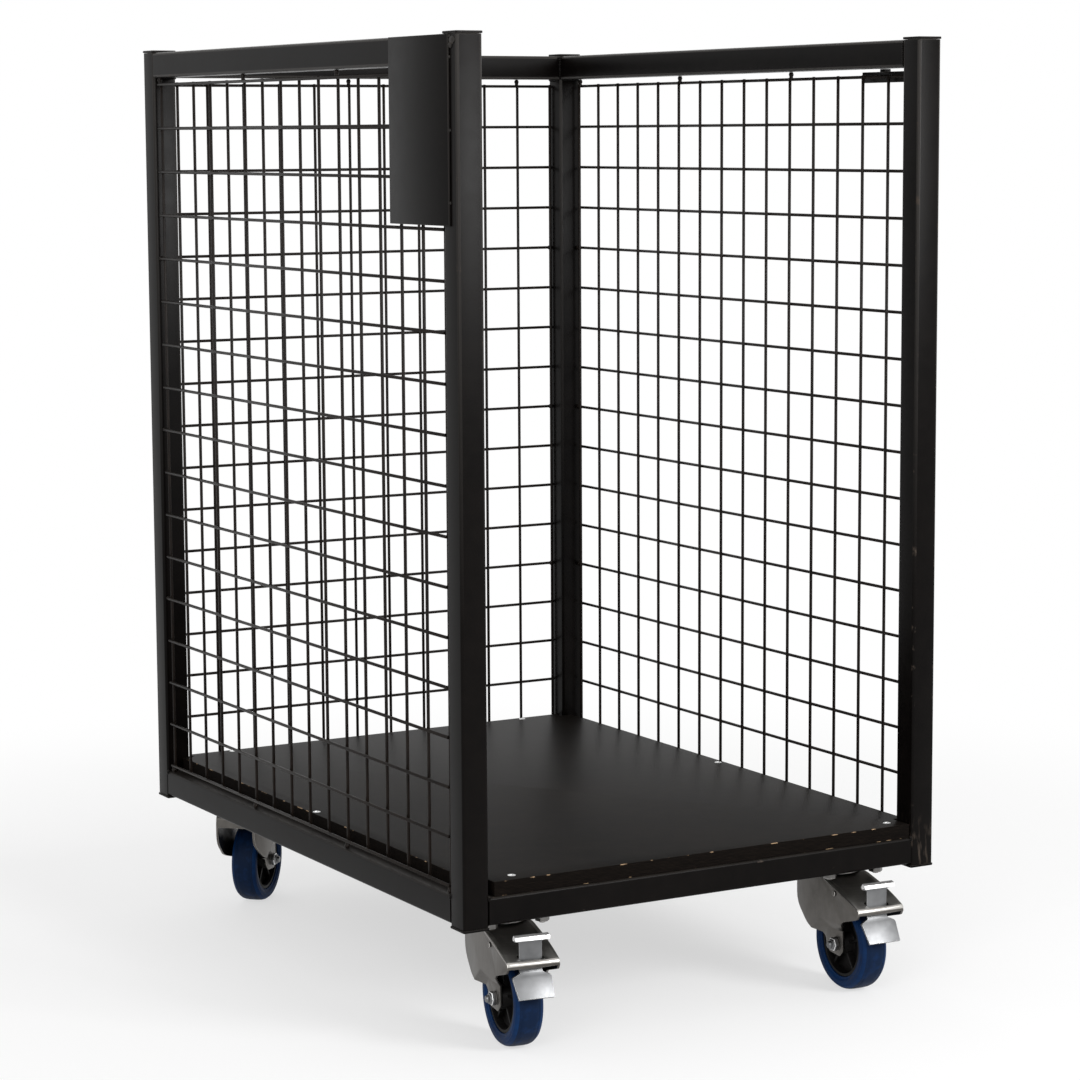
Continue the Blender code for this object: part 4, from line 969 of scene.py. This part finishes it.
fork_zinc = plated("pressed_zinc", STEEL_DARK, STEEL_LIGHT, STEEL_WEAR_AND_HIGHLIGHT, 0.30, 0.44, 0.35)


def cut_faces(shape, faces, point, normal):
    """Cut some faces along a plane; gives the faces that stand in their place."""
    edges = {e for face in faces for e in face.edges}
    corners = {v for face in faces for v in face.verts}
    whole = list(faces) + list(edges) + list(corners)
    cut = bmesh.ops.bisect_plane(shape, geom=whole, plane_co=point, plane_no=normal, dist=1e-6)
    return [part for part in cut["geom"] if isinstance(part, bmesh.types.BMFace)]


def hood_pressed(shape, pivot, along, across):
    """Cut the hood into strips, sink its middle, let it fall away to the rear, and mark its top for a painted
    highlight that grows towards the rear lip and lies along the side ridges.
    """
    top = [f for f in shape.faces if abs(f.normal.z) > 0.6 and (f.calc_center_median() - pivot).z > -HOOD_LOW]
    for reach in HOOD_CUT_REACHES:
        top = cut_faces(shape, top, pivot + along * reach, along)
    for side in HOOD_CUT_SIDES:
        top = cut_faces(shape, top, pivot + across * HOOD_HALF * side, across)
    for v in shape.verts:
        place = v.co - pivot
        if place.z < -HOOD_LOW:
            continue
        reach = place.dot(along)
        bend = max(0, reach - HOOD_BEND_START) / (HOOD_REACH - HOOD_BEND_START)
        middle = max(0, 1 - (place.dot(across) / (HOOD_HALF * 0.84)) ** 2)
        deepen = min(max((reach - TROUGH_START) / TROUGH_RAMP, 0), 1)
        deepen *= min(max((HOOD_REACH - reach) / TROUGH_END_RAMP, 0.2), 1)
        v.co.z -= HOOD_BEND_FALL * bend ** 2 + HOOD_TROUGH * middle * deepen
    shape.normal_update()
    # Painted highlight: the hood's top is marked paler towards the rear lip, and the side ridges too.
    highlight = shape.faces.layers.float["edge"]
    for face in shape.faces:
        place = face.calc_center_median() - pivot
        if place.z < -HOOD_LOW - HOOD_BEND_FALL or face.normal.z < 0.15:
            continue
        rearward = (place.dot(along) - HOOD_BEND_START) / (HOOD_REACH - HOOD_BEND_START)
        face[highlight] = max(face[highlight], min(max(rearward, 0.06), 1) * HOOD_HIGHLIGHT)
        if abs(place.dot(across)) > HOOD_HALF * 0.86:
            face[highlight] = max(face[highlight], RIDGE_HIGHLIGHT)


def king_pin(corner, pivot):
    """Headed pin on the swivel axis, its head below the fork's crown."""
    low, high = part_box(f"king_pin_{corner}")
    profile = [
        (0, low.z),
        (0.004, low.z),
        (0.0046, low.z + 0.0008),
        (PIN_HEAD_RADIUS - 0.002, low.z + 0.0008),
        (PIN_HEAD_RADIUS - 0.0006, low.z + 0.0014),
        (PIN_HEAD_RADIUS, low.z + 0.0026),
        (PIN_HEAD_RADIUS, low.z + PIN_HEAD_HIGH),
        (PIN_RADIUS, low.z + PIN_HEAD_HIGH),
        (PIN_RADIUS, high.z - 0.0006),
        (PIN_RADIUS - 0.0006, high.z),
        (0, high.z),
    ]
    pin = new_shape()
    turned_shape(pin, profile, 32, False)
    bmesh.ops.translate(pin, vec=(pivot.x, pivot.y, 0), verts=pin.verts)
    piece_of(pin, f"king_pin_{corner}_turned", "cart", race_zinc, [f"king_pin_{corner}"])


for corner in CORNERS:
    pivot = Vector(joints[f"swivel_{corner}"]["pos_m"])
    spin = joints[f"wheel_spin_{corner}"]
    along = Vector(spin["pos_m"]) - pivot
    along.z = 0
    fork = copied(f"fork_{corner}")
    softened(fork, sharp_edges(fork, 60), PRESSED_EDGE)
    hood_pressed(fork, pivot, along.normalized(), Vector(spin["axis"]).normalized())
    piece_of(fork, f"fork_{corner}_pressed", f"fork_{corner}", fork_zinc, [f"fork_{corner}"], 42)
    king_pin(corner, pivot)

# Axles
# Plated bolt through both legs and the hub, its head on one side and a lock nut with a short end of
# thread on the other.
AXLE_RADIUS = 0.004
LEG_FACE = 0.0192
AXLE_NUT = 0.007
AXLE_TIP = 0.003


def axle_place(corner):
    """Place of a wheel's middle, turned so that Z runs along its axle."""
    spin = joints[f"wheel_spin_{corner}"]
    across = Vector(spin["axis"])
    turn = Matrix((Vector((0, 0, 1)), across.cross(Vector((0, 0, 1))), across)).transposed().to_4x4()
    return Matrix.Translation(spin["pos_m"]) @ turn


nut_collar = [
    (AXLE_RADIUS, -LEG_FACE - AXLE_NUT * 0.7),
    (BOLT_ACROSS / 2 - 0.0006, -LEG_FACE - AXLE_NUT * 0.7),
    (BOLT_ACROSS / 2 - 0.0010, -LEG_FACE - AXLE_NUT * 0.9),
    (BOLT_ACROSS / 2 - 0.0022, -LEG_FACE - AXLE_NUT),
    (AXLE_RADIUS, -LEG_FACE - AXLE_NUT),
]
axle_shank = [(AXLE_RADIUS - THREAD_PLAY, LEG_FACE)]
axle_shank += thread_section(AXLE_RADIUS - THREAD_PLAY, LEG_FACE, LEG_FACE + AXLE_NUT + AXLE_TIP)
for corner in CORNERS:
    axle = new_shape()
    hexagon_prism(axle, LEG_FACE, LEG_FACE + HEAD_HIGH)
    hexagon_prism(axle, -LEG_FACE - AXLE_NUT * 0.72, -LEG_FACE)
    turned_shape(axle, nut_collar, 32, True)
    turned_shape(axle, axle_shank, 24, False)
    bmesh.ops.transform(axle, matrix=axle_place(corner), verts=axle.verts)
    piece_of(axle, f"axle_{corner}_bolt", f"fork_{corner}", bright_zinc, [f"axle_{corner}"])

# Wheels
# Blue elastic rubber on a black moulded hub. The tread is a little crowned, with a soft shoulder and the
# fine rings that the mould leaves; the hub has a rim, a thin web, ribs and a boss.
RUBBER_BLUE = (0.0040, 0.0260, 0.0900, 1)
RUBBER_DEEP = (0.0033, 0.0125, 0.0440, 1)
RUBBER_TREAD_SHADE = (0.0030, 0.0110, 0.0340, 1)
NYLON_BLACK = (0.0030, 0.0027, 0.0026, 1)
NYLON_GREY = (0.0065, 0.0058, 0.0054, 1)
WHEEL_STEPS = 96
TREAD_FROM = 0.0485
HUB_RIBS = 5
RIB_INNER = 0.0105
RIB_OUTER = 0.0326
RIB_HALF_THICK = 0.0015
RIB_HALF_WIDTH = 0.0095
RIB_EDGE = 0.0005


def rubber_finish():
    """Blue rubber with a cloudy tone, and the tread painted darker in patches as shade."""
    finish, tree, shader, where = new_finish("blue_rubber")
    tone = effect(tree, uneven_tone, Vector=where, Scale=30.0)
    # Painted shade: the marked tread is made darker than the sides, almost all over, in patches.
    tread_shade_patches = ranged(tree, noise(tree, where, 120.0, 8.0), 0.2, 0.5)
    scuffed = combined(tree, "MULTIPLY", tread_shade_patches, edge_marks(tree))
    colour = blended(tree, scuffed, blended(tree, tone, RUBBER_DEEP, RUBBER_BLUE), RUBBER_TREAD_SHADE)
    gloss = ranged(tree, tone, 0.0, 1.0, 0.48, 0.62)
    filled(tree, shader, {"Base Color": colour, "Roughness": gloss, "Specular IOR Level": 0.08})
    bumped(tree, shader, noise(tree, where, 700.0, 2.0), 0.00004, 0.5)
    return finish


def nylon_finish():
    """Black moulded nylon with a fine spark-eroded grain."""
    finish, tree, shader, where = new_finish("black_nylon")
    tone = effect(tree, uneven_tone, Vector=where, Scale=50.0)
    colour = blended(tree, tone, NYLON_BLACK, NYLON_GREY)
    gloss = ranged(tree, tone, 0.0, 1.0, 0.40, 0.56)
    filled(tree, shader, {"Base Color": colour, "Roughness": gloss, "Specular IOR Level": 0.08})
    bumped(tree, shader, noise(tree, where, 1600.0, 2.0), 0.00002, 0.6)
    return finish


def both_sides(section):
    """Closed profile from the (radius, half width) points of one side, laid out on both sides."""
    return section + [(radius, -half) for radius, half in reversed(section)]


blue_rubber = rubber_finish()
black_nylon = nylon_finish()

# One side of the tyre, from the bead round the shoulder to the middle of the tread
tyre_side = [
    (0.0365, 0.0135),
    (0.0395, 0.0140),
    (0.0400, 0.0146),
    (0.0412, 0.0150),
    (0.0440, 0.0150),
    (0.0446, 0.0147),
    (0.0452, 0.0150),
    (0.0464, 0.0149),
    (0.0470, 0.0142),
    (0.0480, 0.0130),
    (0.0490, 0.0114),
    (0.0495, 0.0096),
    (0.0494, 0.0092),
    (0.0497, 0.0088),
    (0.0500, 0.0050),
]

# One side of the hub, from the bore over the boss and along the web to the rim
hub_side = [
    (0.0043, 0.0162),
    (0.0070, 0.0162),
    (0.0074, 0.0158),
    (0.0112, 0.0150),
    (0.0115, 0.0146),
    (0.0118, 0.0048),
    (0.0130, 0.0032),
    (0.0300, 0.0030),
    (0.0318, 0.0042),
    (0.0324, 0.0120),
    (0.0328, 0.0125),
    (0.0358, 0.0125),
    (0.0362, 0.0120),
]
for corner in CORNERS:
    tyre = new_shape()
    turned_shape(tyre, both_sides(tyre_side), WHEEL_STEPS, True)
    # The tread faces are marked here for the painted shade of the rubber.
    marked(tyre, lambda face: face.calc_center_median().xy.length > TREAD_FROM)
    bmesh.ops.transform(tyre, matrix=axle_place(corner), verts=tyre.verts)
    piece_of(tyre, f"tyre_{corner}_rubber", f"wheel_{corner}", blue_rubber, [f"tyre_{corner}"], 60)

    hub = new_shape()
    turned_shape(hub, both_sides(hub_side), WHEEL_STEPS, True)
    for i in range(HUB_RIBS):
        rib_low = (RIB_INNER, -RIB_HALF_THICK, -RIB_HALF_WIDTH)
        rib = block(hub, rib_low, (RIB_OUTER, RIB_HALF_THICK, RIB_HALF_WIDTH))
        before = set(hub.verts) - set(rib)
        softened(hub, list({e for v in rib for e in v.link_edges}), RIB_EDGE)
        rib = [v for v in hub.verts if v not in before]
        turn = Matrix.Rotation(2 * math.pi * i / HUB_RIBS, 3, "Z")
        bmesh.ops.rotate(hub, cent=(0, 0, 0), matrix=turn, verts=rib)
    bmesh.ops.transform(hub, matrix=axle_place(corner), verts=hub.verts)
    piece_of(hub, f"hub_{corner}_nylon", f"wheel_{corner}", black_nylon, [f"hub_{corner}"], 40)

# Brake pedals
# Bent from thick plated sheet: a tab to lift, a neck through the hood, and a flared tread to press. The
# tab is marked to show brighter than the rest. Each turns on a rivet through the fork.
PEDAL_EDGE = 0.0009
TAB_ABOVE_PIVOT = 0.0100
RIVET_EDGE = 0.0005
for corner in ("front_left", "front_right"):
    pivot = Vector(joints[f"brake_press_{corner}"]["pos_m"])
    name = f"brake_pedal_{corner}"
    pedal = copied(name)
    softened(pedal, sharp_edges(pedal, 50), PEDAL_EDGE, 3)
    # The tab's faces are marked, which makes them brighter than the rest of the pedal.
    marked(pedal, lambda face: face.calc_center_median().z > pivot.z + TAB_ABOVE_PIVOT)
    piece_of(pedal, f"{name}_plated", f"pedal_{corner}", bright_zinc, [name], 45)
    name = f"brake_pin_{corner}"
    rivet = copied(name)
    softened(rivet, sharp_edges(rivet, 70), RIVET_EDGE)
    piece_of(rivet, f"{name}_plated", f"fork_{corner}", fork_zinc, [name], 60)
